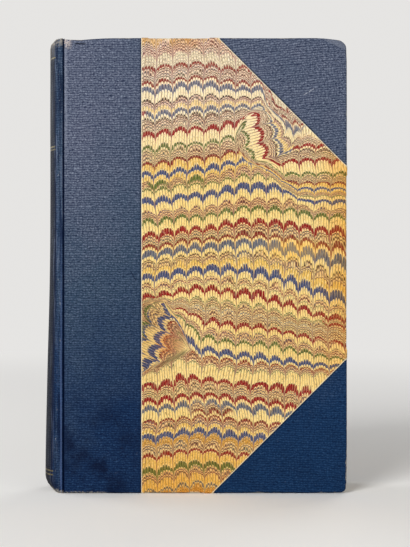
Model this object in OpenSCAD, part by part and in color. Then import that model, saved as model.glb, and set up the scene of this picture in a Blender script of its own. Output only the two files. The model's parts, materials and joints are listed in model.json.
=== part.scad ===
// Old half-cloth book standing on its tail: cloth spine and corners, marbled paper sides,
// rounded and backed page block, hollow back and two hinged covers.
// X runs from the spine to the fore-edge, Y from the front cover to the back, Z from tail to head.

/* [Covers] */
// Height of a cover over its covering
cover_h = 222; // [180:1:280]
// Width of a cover from the joint to the fore-edge
cover_w = 138; // [120:1:180]
// Thickness of the bare board
board_t = 2.5; // [1.8:0.1:4]
// How far the covers stand past the pages
square_w = 3; // [2.5:0.25:5]
// Radius of the knocked fore-edge corner at the head
head_corner_r = 4; // [1:0.5:6]
// Radius of the rubbed fore-edge corner at the tail
tail_corner_r = 2.5; // [1:0.5:6]

/* [Covering] */
// Thickness of the book cloth
cloth_t = 0.35; // [0.25:0.05:0.5]
// Thickness of the marbled paper
paper_t = 0.2; // [0.1:0.05:0.3]
// Cloth that shows between the joint and the marbled paper
cloth_strip_w = 37.7; // [32:0.1:50]
// Leg of the cloth corner at the head
head_corner_leg = 63; // [30:1:70]
// Leg of the cloth corner at the tail
tail_corner_leg = 66; // [30:1:70]
// How far the paper laps over the edges of the cloth
lap_w = 3; // [1.5:0.5:5]
// Width of the turn-ins inside a cover
turn_in_w = 15; // [10:1:20]

/* [Pages] */
// Thickness of the page block between its two flat faces
block_t = 24.6; // [16:0.2:40]
// How far the hollow of the fore-edge reaches in
fore_edge_hollow = 4; // [1:0.5:7]
// Thickness of an endpaper leaf
endpaper_t = 0.2; // [0.15:0.05:0.3]
// Margin of the cover's edge that a pastedown leaves bare
paste_margin = 4; // [2.5:0.5:8]

/* [Spine] */
// How far the spine rounds out past the joint
spine_round = 8.3; // [7:0.1:14]
// How much further it swells at the tail, where the hollow back has come loose
tail_swell = 2.5; // [0:0.1:4]
// How far the worn cap at the tail pulls that swelling back in
tail_pull = 4; // [0:0.25:6]
// Height from the tail over which it does
tail_cap_h = 7.5; // [6:0.5:9]
// Depth of the cap's cloth turned down inside the spine
cap_turn_w = 12; // [10:1:18]
// Thickness of the card that stiffens the hollow back
stiffener_t = 0.8; // [0.4:0.1:1.2]
// Thickness of the mull glued over the sewing
mull_t = 0.3; // [0.2:0.05:0.4]
// Width of the mull's flanges on the boards
mull_flange_w = 30; // [24:1:32]
// Number of tapes that the sections are sewn on
tape_count = 3; // [2:1:5]
// Width of a sewing tape
tape_w = 14; // [8:1:16]
// Thickness of a sewing tape
tape_t = 0.3; // [0.2:0.05:0.4]
// Length of a tape's slip on a board
slip_w = 20; // [12:1:22]
// Thickness of a headband
headband_d = 2.2; // [1.5:0.1:2.4]
// How far in from the back of the pages a headband sits, clear of the cap that leans over it
headband_set = 1; // [0.9:0.1:2]

/* [Joints] */
// Radius at which the cloth turns into the joint's crease
crease_r = 0.9; // [0.7:0.05:1.2]
// Half the slit left between spine and cover where the crease closes
joint_gap = 0.15; // [0.1:0.05:0.3]
// How far the spine's ridge lies below the face of a cover
ridge_drop = 0.3; // [0.3:0.05:0.8]
// Clearance between leaves, layers and covers that move past each other
clearance = 0.3; // [0.25:0.05:0.5]

/* [Hidden] */
// Levels of the front half, counted out from the middle of the book's thickness
leaf_y = block_t / 2 + endpaper_t;
paste_y = leaf_y + clearance;
lining_y = paste_y + endpaper_t;
inside_y = lining_y + cloth_t;
outside_y = inside_y + board_t;
face_y = outside_y + cloth_t;
ridge_y = face_y - ridge_drop;

// Where things end along X from the joint and along Z from the tail
edge_wrap = cloth_t + paper_t;
board_x = joint_gap + cloth_t;
board_end = cover_w - edge_wrap;
crease_x = joint_gap + crease_r;
fore_x = cover_w - square_w;
cap_foot = paper_t;
cap_top = cover_h - paper_t;
mull_foot = max(turn_in_w, cap_turn_w + square_w);
mull_top = cover_h - mull_foot;

// Layers of the spine, counted in from the outside of its cloth
stiffener_in = cloth_t + stiffener_t;
cap_turn_in = stiffener_in + cloth_t;
mull_in = cap_turn_in + clearance;
block_in = mull_in + mull_t;

// The joint stands where the whole book's width is centred on the origin
joint_x = (spine_round + tail_swell - cover_w) / 2;

// The spine is drawn in this many steps from its middle to each ridge, and the tapes stop one short
spine_steps = 10;
tape_steps = spine_steps - 1;
headband_steps = spine_steps - 2;
headband_sides = 10;
fore_edge_steps = 14;

// Share of the spine's height over which it swells, and the lean of the caps over the headbands
swell_reach = 0.6;
cap_slope = 0.8;

// Longer than anything in the book, for cuts that run right through
through = 400;

cloth_blue = "#33477a";
paper_red = "#8a4a3c";
page_cream = "#d9c9a3";
board_grey = "#a39378";
leaf_cream = "#e2d6b8";

// How far the spine stands out at each height
function smooth(u) = u * u * (3 - 2 * u);
function drawn(from_end, reach) = pow(max(0, 1 - from_end / reach), 2);
function swell_at(z) =
    let (swell = tail_swell * (1 - smooth(min(1, z / (swell_reach * cover_h)))))
    max(0, swell - tail_pull * drawn(z - cap_foot, tail_cap_h));
function round_at(z) =
    let (from_end = min(z - cap_foot, cap_top - z))
    spine_round + swell_at(z) - cap_slope * square_w * drawn(from_end, square_w);

// Point on half an ellipse from the front ridge (t = -1) to the back one (t = 1), so far inside it
function spine_layer(t, inset, depth) =
    let (a = 90 * t, p = depth - crease_x, q = ridge_y)
    let (inward = [q * cos(a), -p * sin(a)] / norm([q * cos(a), p * sin(a)]))
    [-crease_x - p * cos(a), q * sin(a)] + inset * inward;

// Outline in plan of a layer that lies on the pages' back
function band_outline(steps, outer, inner) = concat(
    [for (i = [-steps : steps]) spine_layer(i / spine_steps, outer, spine_round)],
    [for (i = [steps : -1 : -steps]) spine_layer(i / spine_steps, inner, spine_round)]
);

// Hollow fore-edge of the pages, an arc through the corners of the block
fore_arc_r = (pow(block_t / 2, 2) + pow(fore_edge_hollow, 2)) / (2 * fore_edge_hollow);
fore_arc_turn = asin(block_t / 2 / fore_arc_r);
function fore_edge(i) =
    let (a = fore_arc_turn * (1 - 2 * i / fore_edge_steps))
    [fore_x + fore_arc_r * (cos(fore_arc_turn) - cos(a)), fore_arc_r * sin(a)];

// Middle height of a sewing tape
function tape_z(i) = cover_h * (i + 1) / (tape_count + 1);

// Heights of the rows that follow the caps and the swelling, from the head down
lip_top = cap_top - cap_turn_w;
lip_foot = cap_foot + cap_turn_w;
head_rows = [for (f = [0.3, 0.65, 1]) cap_top - f * square_w];
swell_rows = [for (f = [1, 0.75, 0.6, 0.48, 0.36, 0.25, 0.12, 0]) lip_foot + f * (lip_top - lip_foot)];
tail_rows = concat(
    [for (f = [1, 0.65, 0.35]) cap_foot + square_w + f * (tail_cap_h - square_w)],
    [for (f = [1, 0.65, 0.3]) cap_foot + f * square_w]
);
wall_rows = concat(head_rows, swell_rows, tail_rows);

function reversed(list) = [for (i = [len(list) - 1 : -1 : 0]) list[i]];

// A sheet bent round the hollow back, given as a strip of pairs from head to tail. Each pair
// holds the outer and inner side of the sheet there, as its inset and its height.
module bent_sheet(strip) {
    rows = len(strip);
    steps = 2 * spine_steps;
    function corner(i, pair) =
        let (q = spine_layer(i / spine_steps - 1, pair[0], round_at(pair[1]))) [q[0], q[1], pair[1]];
    points = [for (i = [0 : steps]) each [for (side = [0, 1]) each [for (pair = strip) corner(i, pair[side])]]];
    function at(i, side, k) = (2 * i + side) * rows + k;
    sheet = [for (i = [0 : steps - 1]) each [for (k = [0 : rows - 2]) each [
        [at(i, 0, k), at(i + 1, 0, k + 1), at(i + 1, 0, k)],
        [at(i, 0, k), at(i, 0, k + 1), at(i + 1, 0, k + 1)],
        [at(i, 1, k), at(i + 1, 1, k), at(i + 1, 1, k + 1)],
        [at(i, 1, k), at(i + 1, 1, k + 1), at(i, 1, k + 1)]
    ]]];
    rims = [for (i = [0 : steps - 1]) each [
        [at(i, 0, 0), at(i + 1, 0, 0), at(i + 1, 1, 0)],
        [at(i, 0, 0), at(i + 1, 1, 0), at(i, 1, 0)],
        [at(i, 0, rows - 1), at(i + 1, 1, rows - 1), at(i + 1, 0, rows - 1)],
        [at(i, 0, rows - 1), at(i, 1, rows - 1), at(i + 1, 1, rows - 1)]
    ]];
    ends = [for (k = [0 : rows - 2]) each [
        [at(0, 0, k), at(0, 1, k + 1), at(0, 0, k + 1)],
        [at(0, 0, k), at(0, 1, k), at(0, 1, k + 1)],
        [at(steps, 0, k), at(steps, 0, k + 1), at(steps, 1, k + 1)],
        [at(steps, 0, k), at(steps, 1, k + 1), at(steps, 1, k)]
    ]];
    polyhedron(points, concat(sheet, rims, ends));
}

// Places a piece of the front cover or the block, and the same piece mirrored on the back
module on_front() {
    translate([joint_x, 0, 0]) children();
}
module on_back() {
    mirror([0, 1, 0]) on_front() children();
}

// Turns a shape drawn in X and Z into a plate between two distances from the book's middle
module plate(from, to) {
    translate([0, -from, 0]) rotate([90, 0, 0]) linear_extrude(to - from) children();
}

// Rounded rectangle of a board in X and Z, grown past its three free edges
module board_outline(grow) {
    head_r = head_corner_r - edge_wrap + grow;
    tail_r = tail_corner_r - edge_wrap + grow;
    foot = edge_wrap - grow;
    top = cover_h - foot;
    end = board_end + grow;
    translate([board_x, foot + tail_r]) square([end - board_x, top - head_r - foot - tail_r]);
    translate([board_x, foot]) square([end - tail_r - board_x, tail_r + 1]);
    translate([board_x, top - head_r - 1]) square([end - head_r - board_x, head_r + 1]);
    translate([end - head_r, top - head_r]) circle(head_r, $fn = 48);
    translate([end - tail_r, foot + tail_r]) circle(tail_r, $fn = 48);
}

// Skin between two distances from the board, round its free edges and turned in on its inside
module jacket(from, to) {
    difference() {
        plate(inside_y - to, outside_y + to) board_outline(to);
        plate(inside_y - from, outside_y + from) board_outline(from);
        plate(0, inside_y)
            translate([0, turn_in_w]) square([cover_w - turn_in_w, cover_h - 2 * turn_in_w]);
        translate([0, -through / 2, -1]) cube([crease_x, through / 2, cover_h + 2]);
    }
}

// Part of a cover that the marbled paper covers, drawn back from its cut edges by an inset
module paper_field(inset) {
    head_leg = head_corner_leg + inset * sqrt(2) + 1;
    tail_leg = tail_corner_leg + inset * sqrt(2) + 1;
    left = cloth_strip_w + inset;
    polygon([
        [left, -1], [cover_w - tail_leg, -1], [cover_w + 1, tail_leg],
        [cover_w + 1, cover_h - head_leg], [cover_w - head_leg, cover_h + 1], [left, cover_h + 1]
    ]);
}

// Bare board, its outer edge rounded at the joint, let in on its inside for the tape slips
module board() {
    edge_r = crease_r - cloth_t;
    difference() {
        plate(inside_y, outside_y) board_outline(0);
        translate([board_x, -outside_y, 0]) difference() {
            translate([-1, -1, -1]) cube([edge_r + 1, edge_r + 1, cover_h + 2]);
            translate([edge_r, edge_r, -2]) cylinder(cover_h + 4, r = edge_r, $fn = 32);
        }
        for (i = [0 : tape_count - 1]) slip(i, 1);
    }
}

// End of a tape, let into the inside of a board
module slip(i, spare) {
    plate(inside_y - spare, inside_y + tape_t)
        translate([board_x - spare, tape_z(i) - tape_w / 2]) square([slip_w + spare, tape_w]);
}

module tape_slips() {
    for (i = [0 : tape_count - 1]) slip(i, 0);
}

// Quarter tube of cloth where it turns down into the crease of a joint
module crease(ridge) {
    intersection() {
        translate([0, -ridge + crease_r, cap_foot]) difference() {
            cylinder(cap_top - cap_foot, r = crease_r, $fn = 48);
            translate([0, 0, -1]) cylinder(cover_h + 2, r = crease_r - cloth_t, $fn = 48);
        }
        translate([0, -ridge - 1, 0]) cube([crease_r + 1, crease_r + 1, cover_h]);
    }
}

// Cloth of the spine where it goes on over a cover, with its turn-ins at head and tail
module cloth_side() {
    strip_end = cloth_strip_w + lap_w;
    intersection() {
        jacket(0, cloth_t);
        plate(0, through / 2) translate([0, -1]) square([strip_end, cover_h + 2]);
    }
    translate([crease_x, 0, 0]) mirror([1, 0, 0]) crease(face_y);
}

// Cloth corner, turned in over the two edges that meet there
module cloth_corner(leg, at_head) {
    reach = leg + lap_w * sqrt(2) + 1;
    edge_z = at_head ? cover_h + 1 : -1;
    foot_z = at_head ? cover_h - reach : reach;
    intersection() {
        jacket(0, cloth_t);
        plate(0, through / 2)
            polygon([[cover_w - reach, edge_z], [cover_w + 1, edge_z], [cover_w + 1, foot_z]]);
    }
}

// Strip where the marbled paper runs over the edges of the cloth, with the step down to the board
module paper_lap(reach) {
    difference() {
        paper_field(reach);
        paper_field(lap_w + paper_t);
    }
}

// Marbled paper: flat on the board, stepped up over the edges of the cloth and turned in
module side_paper() {
    intersection() {
        jacket(0, paper_t);
        plate(0, through / 2) paper_field(lap_w);
    }
    intersection() {
        jacket(0, edge_wrap);
        plate(inside_y, through / 2) paper_lap(lap_w);
    }
    intersection() {
        jacket(cloth_t, edge_wrap);
        plate(inside_y, through / 2) paper_lap(0);
    }
}

// Flange of the mull, pasted down on the inside of a board
module mull_flange() {
    plate(lining_y, inside_y)
        translate([board_x, mull_foot]) square([mull_flange_w - board_x, mull_top - mull_foot]);
}

// Endpaper leaf pasted on the inside of a cover, dished where no turn-in lies under it
module pastedown() {
    dish = [cover_w - turn_in_w - mull_flange_w, mull_top - mull_foot];
    fold = 2 * endpaper_t;
    difference() {
        plate(paste_y, inside_y) translate([board_x, paste_margin])
            square([cover_w - paste_margin - board_x, cover_h - 2 * paste_margin]);
        plate(lining_y, inside_y + 1) difference() {
            square([cover_w, cover_h]);
            translate([mull_flange_w, mull_foot]) square(dish);
        }
        plate(paste_y - 1, inside_y - endpaper_t)
            translate([mull_flange_w + endpaper_t, mull_foot + endpaper_t]) square([dish[0] - fold, dish[1] - fold]);
    }
}

// Free endpaper leaf on the pages
module flyleaf() {
    plate(block_t / 2, leaf_y) translate([0, square_w]) square([fore_x, cover_h - 2 * square_w]);
}

// Pages, rounded and backed at the spine, hollow at the fore-edge and let in for the tapes
module text_block() {
    outline = concat(
        [for (i = [-spine_steps : spine_steps]) spine_layer(i / spine_steps, block_in, spine_round)],
        [[0, block_t / 2]],
        [for (i = [0 : fore_edge_steps]) fore_edge(i)],
        [[0, -block_t / 2]]
    );
    color(page_cream) on_front() difference() {
        translate([0, 0, square_w]) linear_extrude(cover_h - 2 * square_w) polygon(outline);
        tapes_on_spine(1);
    }
}

module tapes_on_spine(spare) {
    for (i = [0 : tape_count - 1])
        translate([0, 0, tape_z(i) - tape_w / 2]) linear_extrude(tape_w)
            polygon(band_outline(tape_steps, block_in - spare, block_in + tape_t));
}

module sewing_tapes() {
    color("linen") on_front() tapes_on_spine(0);
}

module mull() {
    color("wheat") on_front() translate([0, 0, mull_foot]) linear_extrude(mull_top - mull_foot)
        polygon(band_outline(spine_steps, mull_in, block_in));
}

// Card inside the hollow back
module spine_stiffener() {
    rows = concat([cap_top - cloth_t], wall_rows, [cap_foot + cloth_t]);
    color(board_grey) on_front() bent_sheet([for (z = rows) [[cloth_t, z], [stiffener_in, z]]]);
}

// Cloth over the hollow back, turned down inside it at head and tail and into the joints' creases
module spine_cloth() {
    strip = concat(
        [for (z = concat([lip_top], reversed(head_rows))) [[cap_turn_in, z], [stiffener_in, z]]],
        [[[cap_turn_in, cap_top], [stiffener_in, cap_top - cloth_t]]],
        [[[0, cap_top], [cloth_t, cap_top - cloth_t]]],
        [for (z = wall_rows) [[0, z], [cloth_t, z]]],
        [[[0, cap_foot], [cloth_t, cap_foot + cloth_t]]],
        [[[cap_turn_in, cap_foot], [stiffener_in, cap_foot + cloth_t]]],
        [for (z = concat(reversed(tail_rows), [lip_foot])) [[cap_turn_in, z], [stiffener_in, z]]]
    );
    color(cloth_blue) on_front() {
        bent_sheet(strip);
        translate([-crease_x, 0, 0]) crease(ridge_y);
        mirror([0, 1, 0]) translate([-crease_x, 0, 0]) crease(ridge_y);
    }
}

// Sewn roll on the pages' edge at the spine
module headband(z) {
    r = headband_d / 2;
    rings = 2 * headband_steps;
    points = [for (i = [0 : rings]) each [for (k = [0 : headband_sides - 1])
        let (a = 360 * k / headband_sides, t = (i - headband_steps) / spine_steps)
        let (q = spine_layer(t, block_in + headband_set + r - r * cos(a), spine_round))
        [q[0], q[1], z + r * sin(a)]
    ]];
    function at(i, k) = i * headband_sides + k % headband_sides;
    walls = [for (i = [0 : rings - 1]) each [for (k = [0 : headband_sides - 1]) each [
        [at(i, k), at(i + 1, k), at(i + 1, k + 1)],
        [at(i, k), at(i + 1, k + 1), at(i, k + 1)]
    ]]];
    start = [for (k = [0 : headband_sides - 1]) at(0, k)];
    end = [for (k = [headband_sides - 1 : -1 : 0]) at(rings, k)];
    color("tan") on_front() polyhedron(points, concat(walls, [start, end]));
}

text_block();
sewing_tapes();
mull();
spine_stiffener();
spine_cloth();
headband(cover_h - square_w + headband_d / 2);  // headband_head
headband(square_w - headband_d / 2);  // headband_tail
color(leaf_cream) on_front() flyleaf();  // front_flyleaf
color(leaf_cream) on_back() flyleaf();  // back_flyleaf
color(board_grey) on_front() board();  // front_board
color(paper_red) on_front() side_paper();  // front_side_paper
color(cloth_blue) on_front() cloth_corner(head_corner_leg, true);  // front_corner_head
color(cloth_blue) on_front() cloth_corner(tail_corner_leg, false);  // front_corner_tail
color(cloth_blue) on_front() cloth_side();  // spine_cloth_front_side
color("wheat") on_front() mull_flange();  // mull_front_flange
color("linen") on_front() tape_slips();  // front_tape_slips
color(leaf_cream) on_front() pastedown();  // front_pastedown
color(board_grey) on_back() board();  // back_board
color(paper_red) on_back() side_paper();  // back_side_paper
color(cloth_blue) on_back() cloth_corner(head_corner_leg, true);  // back_corner_head
color(cloth_blue) on_back() cloth_corner(tail_corner_leg, false);  // back_corner_tail
color(cloth_blue) on_back() cloth_side();  // spine_cloth_back_side
color("wheat") on_back() mull_flange();  // mull_back_flange
color("linen") on_back() tape_slips();  // back_tape_slips
color(leaf_cream) on_back() pastedown();  // back_pastedown
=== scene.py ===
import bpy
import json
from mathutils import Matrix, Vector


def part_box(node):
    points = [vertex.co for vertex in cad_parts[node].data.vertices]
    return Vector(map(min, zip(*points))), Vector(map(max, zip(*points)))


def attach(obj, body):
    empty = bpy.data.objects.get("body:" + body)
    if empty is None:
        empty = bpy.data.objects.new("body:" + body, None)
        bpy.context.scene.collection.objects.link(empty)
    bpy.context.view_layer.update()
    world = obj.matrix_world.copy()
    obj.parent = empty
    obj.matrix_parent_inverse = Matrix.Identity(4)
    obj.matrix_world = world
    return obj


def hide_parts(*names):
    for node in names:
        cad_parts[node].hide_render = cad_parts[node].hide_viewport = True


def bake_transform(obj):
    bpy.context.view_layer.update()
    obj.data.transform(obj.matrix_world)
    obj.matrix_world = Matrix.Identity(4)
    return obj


bl_info = {
    "name": "Half-Cloth Book",
    "version": (1, 0, 0),
    "blender": (4, 5, 0),
    "location": "View3D > Sidebar > Book",
    "description": "Dresses an old book in worn cloth, combed marbled paper and aged leaves",
    "category": "Add Mesh",
}

import json
import math

import bmesh
import bpy
from bpy.props import FloatProperty, FloatVectorProperty, IntProperty, PointerProperty
from mathutils import Vector, noise

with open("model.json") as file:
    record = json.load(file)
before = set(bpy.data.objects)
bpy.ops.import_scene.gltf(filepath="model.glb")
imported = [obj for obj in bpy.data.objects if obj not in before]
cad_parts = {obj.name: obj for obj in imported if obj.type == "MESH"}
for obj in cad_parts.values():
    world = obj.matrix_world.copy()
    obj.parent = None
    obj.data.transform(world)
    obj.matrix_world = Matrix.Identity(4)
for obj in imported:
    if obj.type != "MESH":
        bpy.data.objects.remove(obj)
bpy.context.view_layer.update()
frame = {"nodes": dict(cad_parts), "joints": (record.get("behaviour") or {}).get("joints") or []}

MM = 0.001

# The book's own measures, taken from the frame. X counts from the joint, Z from the tail,
# and depth is the distance from the middle of the book's thickness.
joint = next(j for j in frame["joints"] if j["name"] == "front_hinge")
JOINT_X = joint["pos_m"][0]
board_low, board_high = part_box("front_board")
strip_low, strip_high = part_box("spine_cloth_front_side")
paper_low, paper_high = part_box("front_side_paper")
block_low, block_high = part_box("text_block")
leaf_low, leaf_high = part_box("front_flyleaf")
paste_low, paste_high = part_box("front_pastedown")
spine_low, spine_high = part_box("spine_cloth")
BOARD_X = board_low[0] - JOINT_X
BOARD_END = board_high[0] - JOINT_X
BOARD_FOOT = board_low[2]
BOARD_TOP = board_high[2]
OUTSIDE = -board_low[1]
INSIDE = -board_high[1]
CLOTH_T = -strip_low[1] - OUTSIDE
PAPER_T = strip_low[1] - paper_low[1]
COVER_W = paper_high[0] - JOINT_X
COVER_H = paper_high[2]
STRIP_W = paper_low[0] - JOINT_X
LAP_W = strip_high[0] - paper_low[0]
BLOCK_HALF = -leaf_high[1]
LEAF_T = leaf_high[1] - leaf_low[1]
BLOCK_END = leaf_high[0] - JOINT_X
BLOCK_FOOT = block_low[2]
BLOCK_TOP = block_high[2]
PASTE = -paste_high[1]
RIDGE = -spine_low[1]
SPINE_FOOT = spine_low[2]
SPINE_TOP = spine_high[2]
SPINE_OUT = JOINT_X - spine_low[0]
SIDES = {"front": -1, "back": 1}

# How close a point lies to a plane that it counts as on
NEAR = 1e-5
# Half the slit where a joint's crease closes
CREASE_GAP = 0.00015
# Width over which the marbled paper steps down from the cloth's edge to the board
LAP_DROP = 0.0006
# Share of the spine cloth's width, on each side, that turns into the crease
CREASE_SHARE = 0.055
# The pages: their hollow fore-edge, the dip between two sections, how far a section's edges stray,
# the room between their back and the spine and beside their shoulders, and the share of their width
# over which they widen from the shoulders
FORE_HOLLOW = 0.004
SECTION_DIP = 0.00022
SECTION_STRAY = 0.00018
BACK_ROOM = 0.0021
SHOULDER_ROOM = 0.0006
SHOULDER_SHARE = 0.06
# Heights of the endpapers over what they lie on
LEAF_CLEAR = 0.00003
LEAF_RIPPLE = 0.00006
# Angle up to which an edge is shaded smooth
SMOOTH = math.radians(38)

# Knocks on each cover: a dent in its head by the joint, and its two crushed corners
DENT_X = 0.0065
DENT_HALF_W = 0.0085
DENT_DEPTH = 0.0011
DENT_REACH = 0.012
HEAD_CRUSH = Vector((-0.0004, -0.0009, -0.0016))
HEAD_CRUSH_REACH = 0.016
TAIL_CRUSH = Vector((-0.0007, 0.0, 0.0006))
TAIL_CRUSH_REACH = 0.010

# The cap at the tail pulls the swollen spine back in
TAIL_PULL = 0.004
TAIL_CAP_H = 0.0075
# What that pull takes off the swelling at its widest
TAIL_LOSS = 0.000024

# Marks of wear on the unfolded sheets, in millimetres from the joint and the tail
GILT_RULES = (213.2, 169.5, 168.1, 10.0, 8.1)
HEAD_SLIT = (8.0, 219.9)
DARK_SCRATCH = (33.8, 106.0)
PALE_SCRATCH = (119.3, 195.5)
CRUSHED_CORNER = (125.2, 221.9)

# Where the stylus turned its two curls on each marbled paper, and the paper's own shift on its sheet
CURLS = {
    "front": ((96.4, 173.5, 0.0), (46.8, 74.7, 0.0), (0.0, 0.0, 0.0)),
    "back": ((160.0, 205.0, 0.0), (120.0, 118.0, 0.0), (63.0, 41.0, 0.0)),
}
AMBER_POOL = (112.5, 118.5, 0.0)

# The lamps: place, aim, width and power
LAMPS = {
    "key": ((-0.55, -0.95, 0.80), (0.0, 0.0, 0.12), 0.6, 12.2),
    "fill": ((0.9, -1.0, 0.5), (0.0, 0.0, 0.1), 1.0, 3.2),
    "rim": ((-0.7, 0.35, 0.35), (-0.05, 0.0, 0.11), 0.5, 2.0),
    "behind": ((0.7, 1.3, 0.9), (0.0, 0.0, 0.1), 1.0, 6.0),
}
# Strength at which the background lights the object; it is seen at its full strength
AMBIENT = 0.21


def length(name, description, default):
    return FloatProperty(name=name, description=description, default=default, unit="LENGTH")


def tint(name, description, default):
    return FloatVectorProperty(name=name, description=description, default=default, size=3, subtype="COLOR")


class BookSizes(bpy.types.PropertyGroup):
    head_corner_leg: length("Head corner", "Leg of the cloth corner at the head", 0.063)
    tail_corner_leg: length("Tail corner", "Leg of the cloth corner at the tail", 0.066)
    head_corner_r: length("Head corner radius", "Rounding of the knocked corner", 0.0034)
    tail_corner_r: length("Tail corner radius", "Rounding of the rubbed corner", 0.0019)
    arris: length("Arris", "Rounding of a board's free edges", 0.0006)
    turn_in: length("Turn-in", "Width of the turn-ins inside a cover", 0.015)
    step: length("Mesh step", "Length of a face on the coverings", 0.006)
    crease_r: length("Crease radius", "Radius of the cloth at a joint", 0.0009)
    spine_round: length("Spine round", "How far the spine stands out past the joint", 0.0083)
    swell_reach: FloatProperty(
        name="Swell reach",
        description="Share of the height over which the spine swells",
        default=0.6,
        subtype="FACTOR",
    )
    cap_turn: length("Cap turn-in", "Depth of the cloth turned in at the caps", 0.012)
    stiffener_t: length("Stiffener", "Thickness of the card in the hollow back", 0.0008)
    sections: IntProperty(
        name="Sections", description="Sewn sections in the pages", default=18, min=6, max=40
    )


class BookColours(bpy.types.PropertyGroup):
    cloth: tint("Cloth", "Blue of the unfaded cloth", (0.0045, 0.0205, 0.070))
    # Painted sheen: the faded colours stand for real fading and also for the light's sheen on the cloth
    # toward the head
    faded_cloth: tint("Faded cloth", "Cloth gone grey with light and handling", (0.088, 0.104, 0.162))
    part_faded: tint("Part faded", "Cloth halfway to its faded colour", (0.034, 0.064, 0.108))
    bare_thread: tint("Bare thread", "Undyed thread where the cloth is worn through", (0.47, 0.43, 0.36))
    cream: tint("Paper ground", "Ground of the marbled paper", (0.80, 0.64, 0.31))
    leaf: tint("Leaf", "Aged book paper", (0.70, 0.60, 0.42))
    gilt: tint("Gilt", "Gold of the spine's rules", (0.150, 0.125, 0.065))


class StageLook(bpy.types.PropertyGroup):
    distance: length("Camera distance", "From the lens to the front cover", 0.6)
    frame_height: length("Frame height", "Height of the picture at the front cover", 0.2663)
    centre_x: length("Centre across", "Middle of the picture along X", 0.0051)
    centre_z: length("Centre height", "Middle of the picture along Z", 0.1071)
    backdrop: tint("Backdrop", "Colour of floor and background", (0.79, 0.78, 0.765))
    floor: tint("Floor", "Colour of the floor under the lamps", (0.93, 0.92, 0.90))


class Field:
    """A value or vector that changes over a surface, and that adds and multiplies as a number does."""

    def __init__(self, recipe, socket):
        self.recipe = recipe
        self.socket = socket

    def __add__(self, other):
        return self.recipe.worked("ADD", self, other)

    def __radd__(self, other):
        return self.recipe.worked("ADD", other, self)

    def __sub__(self, other):
        return self.recipe.worked("SUBTRACT", self, other)

    def __rsub__(self, other):
        return self.recipe.worked("SUBTRACT", other, self)

    def __mul__(self, other):
        return self.recipe.worked("MULTIPLY", self, other)

    def __rmul__(self, other):
        return self.recipe.worked("MULTIPLY", other, self)

    def __truediv__(self, other):
        return self.recipe.worked("DIVIDE", self, other)

    def __pow__(self, other):
        return self.recipe.worked("POWER", self, other)

    def __abs__(self):
        return self.recipe.math("ABSOLUTE", self)


def is_vector(value):
    return isinstance(value, tuple) or (isinstance(value, Field) and value.socket.type == "VECTOR")


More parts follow.
